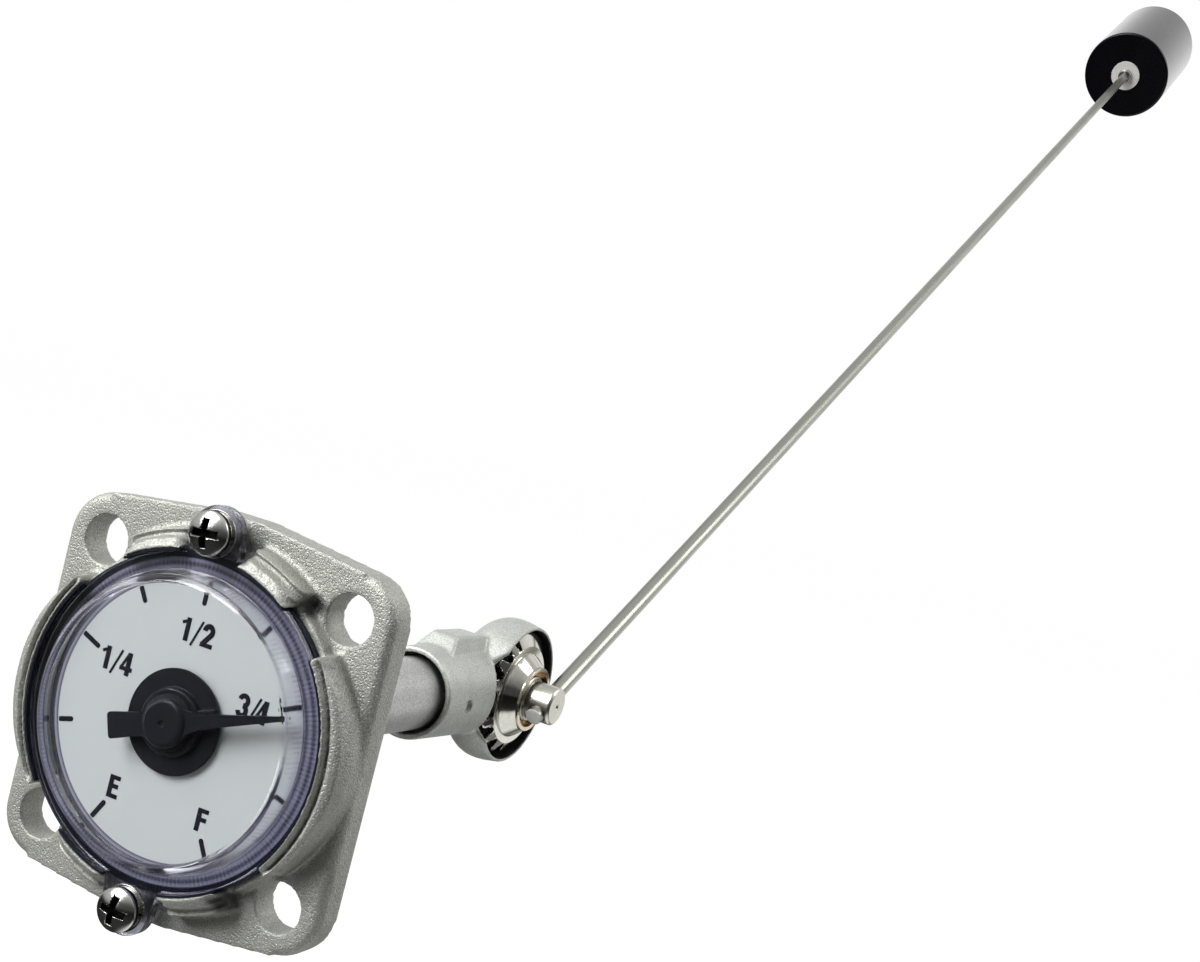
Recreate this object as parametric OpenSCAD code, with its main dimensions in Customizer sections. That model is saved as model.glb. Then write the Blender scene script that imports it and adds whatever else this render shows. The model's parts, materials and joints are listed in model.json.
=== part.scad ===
// Mechanical level gauge for the side of a tank: a flanged dial head, a support
// tube, a crown gear and pinion in a cast housing, and a float on a long rod.
// Sizes are in millimetres.  The frame's origin is the centre of the flange's
// back face.  +X is to the dial's right and is the way the arm's pivot points,
// +Y runs from the dial into the tank, +Z is the dial's top.

/* [Flange] */
// Distance between hole centres, both ways
hole_spacing = 40.4; // [38:0.1:44]
// Flange thickness
flange_t = 4.8; // [4:0.1:7]
// Bolt hole diameter
hole_d = 7.1; // [6:0.1:8]
// Corner radius round each bolt hole
corner_r = 6.7; // [6:0.1:8]
// Extra height of the top and bottom edges at the cover screws
edge_peak = 2.1; // [0:0.1:4]
// Rounding of the flange's front edge
edge_round = 1.4; // [0.5:0.1:2]

/* [Dial and cover] */
// Width of the gasket's ring between the dial plate and the cover's rim
dial_gap = 0.8; // [0.6:0.05:1.2]
// Radius of the cover's clear window
window_r = 19.6; // [19.3:0.05:19.8]
// Cover rim radius
cover_r = 23.2; // [22:0.1:23.4]
// Height of the dial's face above the mounting face
dial_h = 7.4; // [7:0.1:9]
// Height of the cover's window above the mounting face
window_h = 12.1; // [12:0.1:16]
// Distance of each cover screw from the cover's rim
screw_gap = 3.2; // [2.9:0.1:4]
// Cover screw diameter
screw_d = 3.5; // [3:0.1:4]

/* [Pointer] */
// Needle length from the dial's centre
needle_len = 18.5; // [14:0.1:18.6]
// Tail length from the dial's centre
tail_len = 9.0; // [6:0.1:12]
// Pointer angle in the stored pose, clockwise from the top
pointer_rest = 71.1; // [-150:0.1:150]

/* [Tube and drive] */
// Tube outside diameter
tube_d = 12.7; // [12:0.1:13]
// Distance from the mounting face to the arm's pivot
hub_y = 85.7; // [80:0.1:200]
// Drive shaft diameter
shaft_d = 3.0; // [2:0.1:4]

/* [Arm and float] */
// Arm angle above the horizontal in the stored pose
arm_rest = 29.1; // [-60:0.1:60]
// Rod diameter
rod_d = 3.2; // [3:0.1:4]
// Distance from the pivot to the near face of the float
rod_len = 505.8; // [150:0.1:900]
// Float diameter
float_d = 35; // [25:0.5:45]
// Float length
float_len = 57; // [40:0.5:80]

/* [Hidden] */
$fn = 96;
half_s = hole_spacing / 2;
edge_x = half_s + corner_r;
// The top and bottom edges slope from the corners to a short flat at the middle
edge_slope = atan2(edge_peak, half_s - 3);
peak_z = half_s + corner_r / cos(edge_slope) + edge_peak;
seat_h = dial_h - 0.6;
cover_h = dial_h + 0.1;
rim_h = cover_h + 1.7;
wall_h = rim_h + 0.8;
wall_r = cover_r + 0.4;
dial_r = cover_r - dial_gap;
screw_z = cover_r + screw_gap;
screw_r = screw_d / 2;
tube_r = tube_d / 2;
shaft_r = shaft_d / 2;
rod_r = rod_d / 2;
float_r = float_d / 2;
// Teeth on a full turn of the crown gear, and on the pinion it drives
crown_teeth = 17;
pinion_teeth = 7;
pinion_tip_r = 6.1;
// Places along the tube, measured from the mounting face
sleeve_y0 = hub_y - 29.5;
socket_y1 = hub_y - 25.6;
tube_y1 = hub_y - 19.2;
chamber_y0 = hub_y - 16.0;
// Places across the housing, measured from the tube's axis
sleeve_r = 8.1;
drum_r = 13.6;
dish_r = 12.4;
dish_x = 7.6;
floor_x = 2.5;
boss_x = 6.2;
back_x = -7.5;
rod_x = 13.0;
knob_x = 15.4;
// The crown gear's cone of teeth
tooth_pitch = 360 / crown_teeth;
slot_r = 9.5;
finger_r = 11.55;
first_finger = 124.3;
fingers = 9;

// Local frames

// Local z is the height above the mounting face, towards the person who reads the dial
module face_frame() {
    rotate([90, 0, 0])
        children();
}

// A cylinder on the tube's axis from y0 to y1
module along_tube(y0, y1, r) {
    translate([0, y0, 0])
        rotate([-90, 0, 0])
            cylinder(h = y1 - y0, r = r);
}

// Local x and y lie across the pivot and local z runs along it, to the gauge's right
module hub_frame() {
    translate([0, hub_y, 0])
        rotate([90, 0, 90])
            children();
}

// Local y runs out along the float arm
module arm_frame() {
    translate([rod_x, hub_y, 0])
        rotate([arm_rest, 0, 0])
            children();
}

module along_arm(y0, y1, r) {
    translate([0, y0, 0])
        rotate([-90, 0, 0])
            cylinder(h = y1 - y0, r = r);
}

module mirror_copy(axis) {
    children();
    mirror(axis)
        children();
}

// Head

// The flange's outline: a square with round corners and slightly peaked ends
module flange_outline() {
    slope_x = half_s + corner_r * sin(edge_slope);
    slope_z = half_s + corner_r * cos(edge_slope);
    polygon([
        [edge_x, -half_s], [edge_x, half_s], [slope_x, slope_z], [3, peak_z],
        [-3, peak_z], [-slope_x, slope_z], [-edge_x, half_s], [-edge_x, -half_s],
        [-slope_x, -slope_z], [-3, -peak_z], [3, -peak_z], [slope_x, -slope_z]
    ]);
    for (sx = [-1, 1])
        for (sz = [-1, 1])
            translate([sx * half_s, sz * half_s])
                circle(r = corner_r);
}

// What a rounded edge leaves out of a square one
module edge_waste() {
    translate([-edge_round, flange_t - edge_round])
        difference() {
            square(edge_round + 1);
            circle(r = edge_round);
        }
}

// Waste along a straight edge that lies at local x = at, from local y = y0 to y1
module straight_waste(at, y0, y1) {
    translate([at, y1, 0])
        rotate([90, 0, 0])
            linear_extrude(y1 - y0)
                edge_waste();
}

// Waste round a quarter of the flange's front edge: side, corner, sloping end and peak
module quarter_waste() {
    turn = 90 - edge_slope;
    run = (half_s + corner_r * sin(edge_slope) - 3) / cos(edge_slope);
    straight_waste(edge_x, -0.5, half_s);
    translate([half_s, half_s, 0]) {
        rotate_extrude(angle = turn)
            translate([corner_r, 0])
                edge_waste();
        rotate([0, 0, turn])
            straight_waste(corner_r, 0, run);
    }
    rotate([0, 0, 90])
        straight_waste(peak_z, -3.2, 0.5);
}

module flange() {
    difference() {
        linear_extrude(flange_t)
            flange_outline();
        mirror_copy([1, 0, 0])
            mirror_copy([0, 1, 0])
                quarter_waste();
    }
}

// One arc of the wall round the cover, from angle a0 to angle a1
module wall_arc(a0, a1, profile) {
    rotate([0, 0, a0])
        rotate_extrude(angle = a1 - a0)
            polygon(profile);
}

// Arcs of the wall: two long ones at the sides, four short ones by the cover screws
side_arcs = [[-37.5, 37.5], [142.5, 217.5]];
end_arcs = [[56.25, 78.75], [101.25, 123.75], [236.25, 258.75], [281.25, 303.75]];
// The thin rim next to the cover, the same all round
rim_profile = [
    [wall_r, flange_t - 1], [wall_r, wall_h], [wall_r + 1.35, wall_h], [wall_r + 1.55, flange_t - 1]
];
// The low ridge outside the rim at top and bottom
end_profile = [
    [wall_r + 0.8, flange_t - 1], [wall_r + 0.8, wall_h - 1.5], [wall_r + 1.9, wall_h - 1.4],
    [wall_r + 2.5, wall_h - 1.8], [wall_r + 2.85, wall_h - 2.6], [wall_r + 3.1, flange_t - 1]
];
// The broad bulge outside the rim at the sides, turned about an axis of its own so
// that it is widest in the middle and runs out at its ends
bulge_x = 5.0;
bulge_r = edge_x - bulge_x - 0.05;
bulge_profile = [
    [bulge_r - 6, flange_t - 2], [bulge_r - 6, wall_h - 0.4], [bulge_r - 1.5, wall_h - 0.5],
    [bulge_r - 1.0, wall_h - 0.8], [bulge_r - 0.55, wall_h - 1.5], [bulge_r - 0.25, wall_h - 2.4],
    [bulge_r - 0.08, wall_h - 3.4], [bulge_r, flange_t - 2]
];

// The bulge with a narrow groove between it and the rim
module side_bulge() {
    difference() {
        translate([bulge_x, 0, 0])
            wall_arc(-45, 45, bulge_profile);
        cylinder(h = 30, r = wall_r + 0.7);
        translate([0, 0, wall_h - 1.3])
            cylinder(h = 30, r = wall_r + 1.7);
    }
}

module head_casting() {
    color("#b9b6ae")
        difference() {
            face_frame()
                union() {
                    flange();
                    cylinder(h = seat_h, r1 = wall_r + 2.0, r2 = wall_r + 0.7);
                    for (a = side_arcs)
                        wall_arc(a[0], a[1], rim_profile);
                    mirror_copy([1, 0, 0])
                        side_bulge();
                    for (a = end_arcs) {
                        wall_arc(a[0], a[1], rim_profile);
                        wall_arc(a[0], a[1], end_profile);
                    }
                    mirror_copy([0, 1, 0])
                        translate([0, screw_z, 0])
                            cylinder(h = cover_h, r = screw_r + 0.8);
                }
            face_frame() {
                for (sx = [-1, 1])
                    for (sz = [-1, 1])
                        translate([sx * half_s, sz * half_s, -1])
                            cylinder(h = flange_t + 20, r = hole_d / 2);
                mirror_copy([0, 1, 0])
                    translate([0, screw_z, 2.2])
                        cylinder(h = 20, r = screw_r + 0.05);
                translate([0, 0, 4.2])
                    cylinder(h = 20, r = 5.2);
                translate([0, 0, 3.4])
                    cylinder(h = 2, r = 0.6);
            }
            along_tube(-3, 1, tube_r);
        }
}

module dial_plate() {
    color("#e6e9ea")
        face_frame()
            translate([0, 0, seat_h])
                difference() {
                    cylinder(h = dial_h - seat_h, r = dial_r);
                    translate([0, 0, -1])
                        cylinder(h = 3, r = 5.0);
                }
}

// A flat ring under the cover's rim with a lip that lines the wall
module dial_gasket() {
    color("#15161a")
        face_frame() {
            rotate_extrude()
                polygon([
                    [dial_r + 0.05, seat_h], [wall_r - 0.1, seat_h],
                    [wall_r - 0.1, cover_h], [dial_r + 0.05, cover_h]
                ]);
            for (a = concat(side_arcs, end_arcs))
                wall_arc(a[0], a[1], [
                    [cover_r + 0.06, cover_h - 0.3], [wall_r - 0.03, cover_h - 0.3],
                    [wall_r - 0.03, wall_h - 0.3], [cover_r + 0.06, wall_h - 0.3]
                ]);
        }
}

// Clear moulded cover: a rim with two ears, a tapered wall and a flat window
module lens() {
    color("#cfd6ea", 0.35)
        face_frame()
            difference() {
                union() {
                    rotate_extrude()
                        polygon([
                            [0, cover_h], [cover_r, cover_h], [cover_r, rim_h],
                            [window_r + 1.2, rim_h], [window_r + 0.4, window_h - 0.6],
                            [window_r - 0.4, window_h], [0, window_h]
                        ]);
                    mirror_copy([0, 1, 0])
                        translate([0, 0, cover_h])
                            linear_extrude(rim_h - cover_h) {
                                translate([0, screw_z])
                                    circle(r = screw_r + 2.15);
                                polygon([
                                    [-4.5, cover_r - 1.4], [4.5, cover_r - 1.4],
                                    [screw_r + 2.1, screw_z + 0.5], [-screw_r - 2.1, screw_z + 0.5]
                                ]);
                            }
                }
                rotate_extrude()
                    polygon([
                        [0, 0], [window_r + 0.25, 0], [window_r + 0.25, cover_h + 0.4],
                        [window_r - 0.65, window_h - 1.1], [0, window_h - 1.1]
                    ]);
                mirror_copy([0, 1, 0])
                    translate([0, screw_z, 0])
                        cylinder(h = 20, r = screw_r + 0.25);
            }
}

// Pan head screws with a cross recess
module lens_screws() {
    color("#c9c8c4")
        face_frame()
            mirror_copy([0, 1, 0])
                translate([0, screw_z, 0])
                    difference() {
                        union() {
                            translate([0, 0, 3.0])
                                cylinder(h = rim_h - 1.9, r = screw_r);
                            intersection() {
                                translate([0, 0, rim_h + 0.9])
                                    cylinder(h = 2.2, r = screw_r + 1.35);
                                translate([0, 0, rim_h - screw_r - 0.15])
                                    sphere(r = screw_r + 3.15);
                            }
                        }
                        for (a = [5, 95])
                            rotate([0, 0, a])
                                translate([-2.0, -0.5, rim_h + 1.5])
                                    cube([4.0, 1.0, 3]);
                    }
}

module lens_washers() {
    color("#d6d6d2")
        face_frame()
            mirror_copy([0, 1, 0])
                translate([0, screw_z, rim_h])
                    difference() {
                        cylinder(h = 0.4, r = screw_r + 1.55);
                        translate([0, 0, -1])
                            cylinder(h = 3, r = screw_r + 0.15);
                    }
}

// Split lock washers
module lock_washers() {
    color("#a9a9a6")
        face_frame()
            mirror_copy([0, 1, 0])
                translate([0, screw_z, rim_h + 0.4])
                    difference() {
                        cylinder(h = 0.5, r = screw_r + 1.2);
                        translate([0, 0, -1])
                            cylinder(h = 3, r = screw_r + 0.15);
                        translate([0, -0.2, -1])
                            cube([4, 0.4, 3]);
                    }
}

// Pointer, driven through the casting by a magnet

module pivot_pin() {
    color("#c8c8c8")
        face_frame()
            translate([0, 0, 3.4])
                cylinder(h = dial_h - 1.9, r = 0.6);
}

module pointer_magnet() {
    color("#3a3a3c")
        face_frame()
            translate([0, 0, 4.6])
                difference() {
                    cylinder(h = 1.9, r = 4.8);
                    translate([0, 0, -1])
                        cylinder(h = 4, r = 2.0);
                }
}

// The round base under the pointer: a thin disc with a raised boss, two low ribs
// along the pointer's line, and a stem down to the magnet
module pointer_disc() {
    base = dial_h + 0.3;
    color("#101012")
        face_frame()
            rotate([0, 0, 90 - pointer_rest])
                difference() {
                    union() {
                        translate([0, 0, 4.6])
                            cylinder(h = base - 4.5, r = 2.0);
                        translate([0, 0, base])
                            cylinder(h = 0.45, r = 7.35);
                        translate([0, 0, base])
                            rotate_extrude()
                                polygon([[0, 0], [4.9, 0], [4.65, 1.25], [4.5, 1.4], [0, 1.4]]);
                        translate([-7.0, -1.45, base])
                            cube([14.0, 2.9, 1.1]);
                    }
                    translate([0, 0, 3])
                        cylinder(h = dial_h - 1.0, r = 0.65);
                }
}

// Needle, tail and round hub in one moulding
module pointer() {
    color("#0c0c0e")
        face_frame()
            rotate([0, 0, 90 - pointer_rest])
                translate([0, 0, dial_h + 1.7])
                    difference() {
                        union() {
                            rotate_extrude()
                                polygon([
                                    [0, 0], [3.9, 0], [3.9, 0.35], [3.4, 0.5], [3.35, 1.2],
                                    [3.1, 1.45], [2.6, 1.55], [0, 1.55]
                                ]);
                            translate([0, 0, 0.15])
                                linear_extrude(0.95) {
                                    // Needle with fillets at its root
                                    polygon([
                                        [2.4, -2.3], [3.6, -1.55], [5.0, -1.12], [6.5, -0.98],
                                        [needle_len - 0.4, -0.34], [needle_len - 0.4, 0.34],
                                        [6.5, 0.98], [5.0, 1.12], [3.6, 1.55], [2.4, 2.3]
                                    ]);
                                    translate([needle_len - 0.35, 0])
                                        circle(r = 0.35);
                                    // Tail, a little wider at its end
                                    polygon([
                                        [-2.4, -2.0], [-2.4, 2.0], [-3.9, 1.6], [-tail_len + 0.5, 1.85],
                                        [-tail_len, 1.35], [-tail_len, -1.35], [-tail_len + 0.5, -1.85],
                                        [-3.9, -1.6]
                                    ]);
                                    for (s = [-1, 1])
                                        translate([-tail_len + 0.5, s * 1.35])
                                            circle(r = 0.5);
                                }
                        }
                        // Bearing for the pin below, and a small dimple on top
                        translate([0, 0, -1])
                            cylinder(h = 1.5, r = 0.65);
                        translate([0, 0, 1.35])
                            cylinder(h = 1, r = 0.45);
                    }
}

// Tube and drive

module support_tube() {
    color("#b4b3ae")
        difference() {
            along_tube(-3, tube_y1, tube_r);
            along_tube(-4, tube_y1 + 1, tube_r - 1.45);
        }
}

module front_bushing() {
    color("#b89b5a")
        difference() {
            along_tube(6, 10, tube_r - 1.45);
            along_tube(5, 11, shaft_r + 0.04);
        }
}

module rear_bushing() {
    color("#b89b5a")
        difference() {
            along_tube(tube_y1 - 6, tube_y1 - 1, tube_r - 1.45);
            along_tube(tube_y1 - 7, tube_y1, shaft_r + 0.04);
        }
}

module drive_shaft() {
    color("#c4c2bc")
        along_tube(-2.2, hub_y - 7.9, shaft_r);
}

module drive_magnet() {
    color("#3a3a3c")
        difference() {
            along_tube(-2.2, 1.6, tube_r - 1.95);
            along_tube(-3.2, 2.6, shaft_r);
        }
}

module magnet_hub() {
    color("#b89b5a")
        difference() {
            along_tube(1.6, 4.6, 3.0);
            along_tube(0.6, 5.6, shaft_r);
        }
}

// Ring on the shaft in front of the rear bushing, which takes the end thrust
module thrust_collar() {
    color("#a9a7a0")
        difference() {
            along_tube(tube_y1 - 8.4, tube_y1 - 6.3, 3.0);
            along_tube(tube_y1 - 9, tube_y1 - 5, shaft_r);
        }
}

// Star pinion: narrow teeth that enter the gaps between the crown gear's fingers
module pinion() {
    rest_turn = (180 - (first_finger + 2.5 * tooth_pitch)) * crown_teeth / pinion_teeth;
    color("#b89b5a")
        difference() {
            union() {
                translate([0, hub_y - 8.3, 0])
                    rotate([90, 0, 0])
                        linear_extrude(3.4) {
                            circle(r = 3.4);
                            for (k = [0 : pinion_teeth - 1])
                                rotate([0, 0, rest_turn + k * 360 / pinion_teeth])
                                    polygon([
                                        [2.5, -1.1], [4.4, -0.75], [pinion_tip_r, -0.4],
                                        [pinion_tip_r, 0.4], [4.4, 0.75], [2.5, 1.1]
                                    ]);
                        }
                along_tube(hub_y - 15.2, hub_y - 11.7, 2.9);
            }
            along_tube(hub_y - 16, hub_y - 5, shaft_r);
        }
}

// Gear housing

// Pad on top of the sleeve, with slanted ends and sides
module sleeve_pad() {
    intersection() {
        translate([-5, hub_y, 0])
            rotate([90, 0, 90])
                linear_extrude(10)
                    polygon([
                        [-24.2, 6], [-23.7, 8.0], [-21.4, 10.1], [-20.7, 10.5],
                        [-11.6, 10.4], [-10.7, 10.3], [-4.2, 9.0], [-4.2, 6]
                    ]);
        translate([0, hub_y, 0])
            rotate([90, 0, 0])
                linear_extrude(30)
                    polygon([[-4.4, 5], [-3.6, 8.0], [-2.4, 10.5], [2.4, 10.5], [3.6, 8.0], [4.4, 5]]);
    }
}

// Solid body of the housing: a slightly tapered sleeve with a pad on top, and a
// round dish on the pivot's axis, cut back where the sleeve runs into it
module housing_body() {
    translate([0, sleeve_y0, 0])
        rotate([-90, 0, 0])
            rotate_extrude()
                polygon([
                    [0, 0], [sleeve_r - 0.2, 0], [sleeve_r, 0.2], [sleeve_r + 0.4, 16],
                    [sleeve_r + 0.4, 24.4], [0, 24.4]
                ]);
    sleeve_pad();
    difference() {
        hub_frame()
            rotate_extrude()
                polygon([
                    [0, -2.2], [drum_r - 3.0, -2.2], [drum_r - 2.0, -1.4], [drum_r - 1.2, -0.5],
                    [drum_r - 0.5, 0.7], [drum_r - 0.1, 2.0], [drum_r, 3.2], [drum_r - 0.1, 4.8],
                    [drum_r - 0.6, dish_x], [0, dish_x]
                ]);
        translate([0, hub_y, -20])
            linear_extrude(40)
                polygon([[2.0, -26], [30, -26], [30, -7.7], [7.8, -9.5], [2.0, -15.2]]);
    }
    hub_frame()
        translate([0, 0, back_x])
            cylinder(h = 8, r = 5);
}

module gear_housing() {
    color("#c2c1bc")
        difference() {
            housing_body();
            // Wide entrance round the tube, then the tube's seat
            along_tube(sleeve_y0 - 1, sleeve_y0 + 3.3, tube_r + 0.7);
            along_tube(sleeve_y0, tube_y1, tube_r);
            // Pinion chamber
            along_tube(tube_y1 - 0.1, hub_y - 6.7, pinion_tip_r + 0.6);
            // Dish round the crown gear, with its boss left standing
            hub_frame()
                difference() {
                    translate([0, 0, floor_x])
                        cylinder(h = 20, r = dish_r);
                    cylinder(h = boss_x, r = 4.6);
                }
            // Bore of the pivot bush
            hub_frame()
                translate([0, 0, back_x - 1])
                    cylinder(h = 30, r = 3.6);
            // Parting slit in the sleeve's rim
            rotate([0, 8, 0])
                translate([-0.15, sleeve_y0 - 1, tube_r])
                    cube([0.3, 2.6, 3]);
            // Hole of the tube pin
            translate([0, hub_y - 22.0, 0])
                rotate([0, pin_angle, 0])
                    cylinder(h = 20, r = 0.8);
        }
}
// The pin's direction round the tube, from the top towards the right
pin_angle = 94;

module tube_pin() {
    color("#d0cfca")
        translate([0, hub_y - 22.0, 0])
            rotate([0, pin_angle, 0])
                translate([0, 0, tube_r])
                    cylinder(h = sleeve_r - tube_r - 0.45, r = 0.8);
}

// Crown gear and pivot

module pivot_bush() {
    color("#b89b5a")
        hub_frame()
            difference() {
                translate([0, 0, back_x])
                    cylinder(h = 0.2 + boss_x - back_x, r = 3.6);
                translate([0, 0, back_x - 1])
                    cylinder(h = 20, r = 2.5);
            }
}

// Outline of the stamped gear before it is drawn: a disc with round-tipped
// fingers on one side and a plain stop tab beside them
module gear_blank() {
    half = tooth_pitch / 2;
    circle(r = slot_r);
    difference() {
        rotate([0, 0, first_finger])
            for (k = [0 : fingers - 1])
                rotate([0, 0, k * tooth_pitch])
                    polygon([[8, -1.6], [slot_r + 0.7, -1.6], [slot_r + 0.7, 1.6], [8, 1.6]]);
        // Round inner ends of the gaps
        for (k = [-1 : fingers - 1])
            rotate([0, 0, first_finger + half + k * tooth_pitch])
                finger_gap();
    }
    for (k = [0 : fingers - 1])
        rotate([0, 0, first_finger + k * tooth_pitch]) {
            polygon([
                [9, -0.98], [10.0, -0.88], [10.75, -0.8],
                [10.75, 0.8], [10.0, 0.88], [9, 0.98]
            ]);
            translate([finger_r - 0.8, 0])
                circle(r = 0.8);
        }
    // Stop tab
    intersection() {
        circle(r = finger_r + 0.25);
        polygon([
            [0, 0], [20 * cos(53), 20 * sin(53)], [28 * cos(80), 28 * sin(80)],
            [20 * cos(112), 20 * sin(112)]
        ]);
    }
}

// A gap between two fingers, round at its inner end
module finger_gap() {
    translate([slot_r + 0.82, 0])
        circle(r = 0.82);
    translate([slot_r + 0.82, -0.82])
        square([4, 1.64]);
}

// Stamped crown gear: a flat ring, a drawn hub and a slanted ring of fingers
module crown_gear() {
    color("#cfccc4")
        hub_frame() {
            rotate_extrude()
                polygon([
                    [3.0, 8.2], [3.0, 9.0], [5.3, 9.0], [5.3, 10.5], [6.1, 10.5], [6.1, 10.0],
                    [8.05, 7.75], [8.05, 7.5], [9.4, 7.5], [9.4, 6.6], [7.2, 6.6], [7.2, 7.4],
                    [6.4, 8.2]
                ]);
            intersection() {
                rotate_extrude()
                    polygon([
                        [9.0, 6.6], [9.0, 7.5], [9.3, 7.5], [11.9, 6.15], [11.9, 5.2], [9.2, 6.6]
                    ]);
                translate([0, 0, 2])
                    linear_extrude(8)
                        gear_blank();
            }
        }
}

// Journal, neck, collar and knob, with a cross hole for the rod
module pivot_shaft() {
    color("#c8c4bc")
        difference() {
            hub_frame()
                difference() {
                    rotate_extrude()
                        polygon([
                            [0, back_x - 1.5], [2.15, back_x - 1.5], [2.45, back_x - 1.2],
                            [2.45, back_x - 0.95], [1.9, back_x - 0.95], [1.9, back_x - 0.25],
                            [2.45, back_x - 0.25], [2.45, 6.7], [3.0, 6.7], [3.0, 9.0],
                            [4.2, 9.0], [4.4, 9.2], [4.4, 9.9], [4.1, 10.2], [3.6, 10.2],
                            [3.6, knob_x - 0.4], [3.2, knob_x], [0, knob_x]
                        ]);
                    translate([0, 0, knob_x - 0.5])
                        cylinder(h = 0.6, r1 = 0.2, r2 = 0.6);
                }
            arm_frame()
                along_arm(-8, 8, rod_r);
        }
}

// Retaining clip in the groove at the shaft's inner end
module shaft_clip() {
    color("#9a9a98")
        hub_frame()
            translate([0, 0, back_x - 0.9])
                difference() {
                    cylinder(h = 0.6, r = 4.2);
                    translate([0, 0, -1])
                        cylinder(h = 3, r = 1.9);
                    translate([-1.3, 0, -1])
                        cube([2.6, 6, 3]);
                }
}

// Arm and float

module float_rod() {
    color("#b5b2a8")
        arm_frame()
            along_arm(-4.8, rod_len + float_len + 5, rod_r);
}

// Moulded float with softly broken edges
module float() {
    color("#18191c")
        arm_frame()
            translate([0, rod_len, 0])
                rotate([-90, 0, 0])
                    rotate_extrude()
                        polygon([
                            [rod_r, 0], [float_r - 0.8, 0], [float_r - 0.25, 0.25], [float_r, 0.8],
                            [float_r, float_len - 0.8], [float_r - 0.25, float_len - 0.25],
                            [float_r - 0.8, float_len], [rod_r, float_len]
                        ]);
}

module washer_at(y0, r) {
    arm_frame()
        difference() {
            along_arm(y0, y0 + 0.8, r);
            along_arm(y0 - 1, y0 + 2, rod_r);
        }
}

module near_washer() {
    color("#c9c6bd")
        washer_at(rod_len - 0.8, 5.9);
}

module far_washer() {
    color("#c9c6bd")
        washer_at(rod_len + float_len, 5.9);
}

// Small push-on lock in front of the near washer
module rod_lock() {
    color("#b0ada4")
        arm_frame()
            translate([0, rod_len - 2.6, 0])
                rotate([-90, 0, 0])
                    rotate_extrude()
                        polygon([[rod_r, 0], [2.5, 0], [2.7, 0.3], [3.0, 1.8], [rod_r, 1.8]]);
}

// Nut that holds the float on the rod's end
module rod_nut() {
    color("#b0ada4")
        arm_frame()
            difference() {
                union() {
                    along_arm(rod_len + float_len + 0.8, rod_len + float_len + 1.4, 4.2);
                    along_arm(rod_len + float_len + 1.4, rod_len + float_len + 3.2, 2.6);
                }
                along_arm(rod_len + float_len, rod_len + float_len + 5, rod_r);
            }
}

head_casting();
support_tube();
gear_housing();
tube_pin();
dial_plate();
dial_gasket();
lens();
lens_screws();
lens_washers();
lock_washers();
pivot_pin();
pointer_magnet();
pointer_disc();
pointer();
front_bushing();
rear_bushing();
drive_shaft();
drive_magnet();
magnet_hub();
thrust_collar();
pinion();
pivot_bush();
crown_gear();
pivot_shaft();
shaft_clip();
float_rod();
float();
near_washer();
far_washer();
rod_lock();
rod_nut();
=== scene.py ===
"""Visual model of a tank level gauge with a flanged dial, a crown gear and a float arm.

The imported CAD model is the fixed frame. The classes below dress its pieces: castings get
rounded edges and a sand-cast skin, steel gets its drawing marks, the cover is clear and the
dial gets its printed scale. Lengths in the dataclasses are in millimetres where nothing else
is said, in the CAD frame: +X to the dial's right, +Y into the tank and +Z to the dial's top.
"""

from __future__ import annotations

import json
import logging
import math
from dataclasses import dataclass, field
from enum import Enum
from typing import Callable, Iterable, Optional

import bmesh
import bpy
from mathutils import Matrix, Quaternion, Vector
from mathutils.bvhtree import BVHTree
from mathutils.kdtree import KDTree


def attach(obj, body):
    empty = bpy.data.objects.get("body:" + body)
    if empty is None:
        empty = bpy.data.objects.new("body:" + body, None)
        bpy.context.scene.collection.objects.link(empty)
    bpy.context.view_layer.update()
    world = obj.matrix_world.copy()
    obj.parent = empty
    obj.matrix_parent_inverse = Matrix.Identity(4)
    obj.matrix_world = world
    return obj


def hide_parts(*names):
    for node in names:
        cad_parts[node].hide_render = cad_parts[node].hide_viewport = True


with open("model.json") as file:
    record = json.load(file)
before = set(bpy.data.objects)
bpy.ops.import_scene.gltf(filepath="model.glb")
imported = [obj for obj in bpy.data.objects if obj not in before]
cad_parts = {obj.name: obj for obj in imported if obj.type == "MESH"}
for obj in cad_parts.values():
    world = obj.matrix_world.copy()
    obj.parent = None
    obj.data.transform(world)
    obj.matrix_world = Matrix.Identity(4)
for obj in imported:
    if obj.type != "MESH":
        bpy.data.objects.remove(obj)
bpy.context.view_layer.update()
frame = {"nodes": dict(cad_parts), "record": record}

LOG = logging.getLogger("gauge")
MM = 0.001
HUB_Y = 85.7
ARM_TILT = 29.1
WHITE = (1.0, 1.0, 1.0)
SLOTS = {part["node"]: part["material_slot"] for part in frame["record"]["subparts"]}
Mesh = bmesh.types.BMesh
Vert = bmesh.types.BMVert
Edge = bmesh.types.BMEdge
Face = bmesh.types.BMFace
Node = bpy.types.Node
Socket = bpy.types.NodeSocket
Point = tuple[float, float, float]
Colour = tuple[float, float, float]
Span = tuple[float, float]


class Body(Enum):
    """Bodies of the frame that pieces ride on."""

    HEAD = "head"
    POINTER = "pointer"
    DRIVE = "drive"
    ARM = "float_arm"


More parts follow.
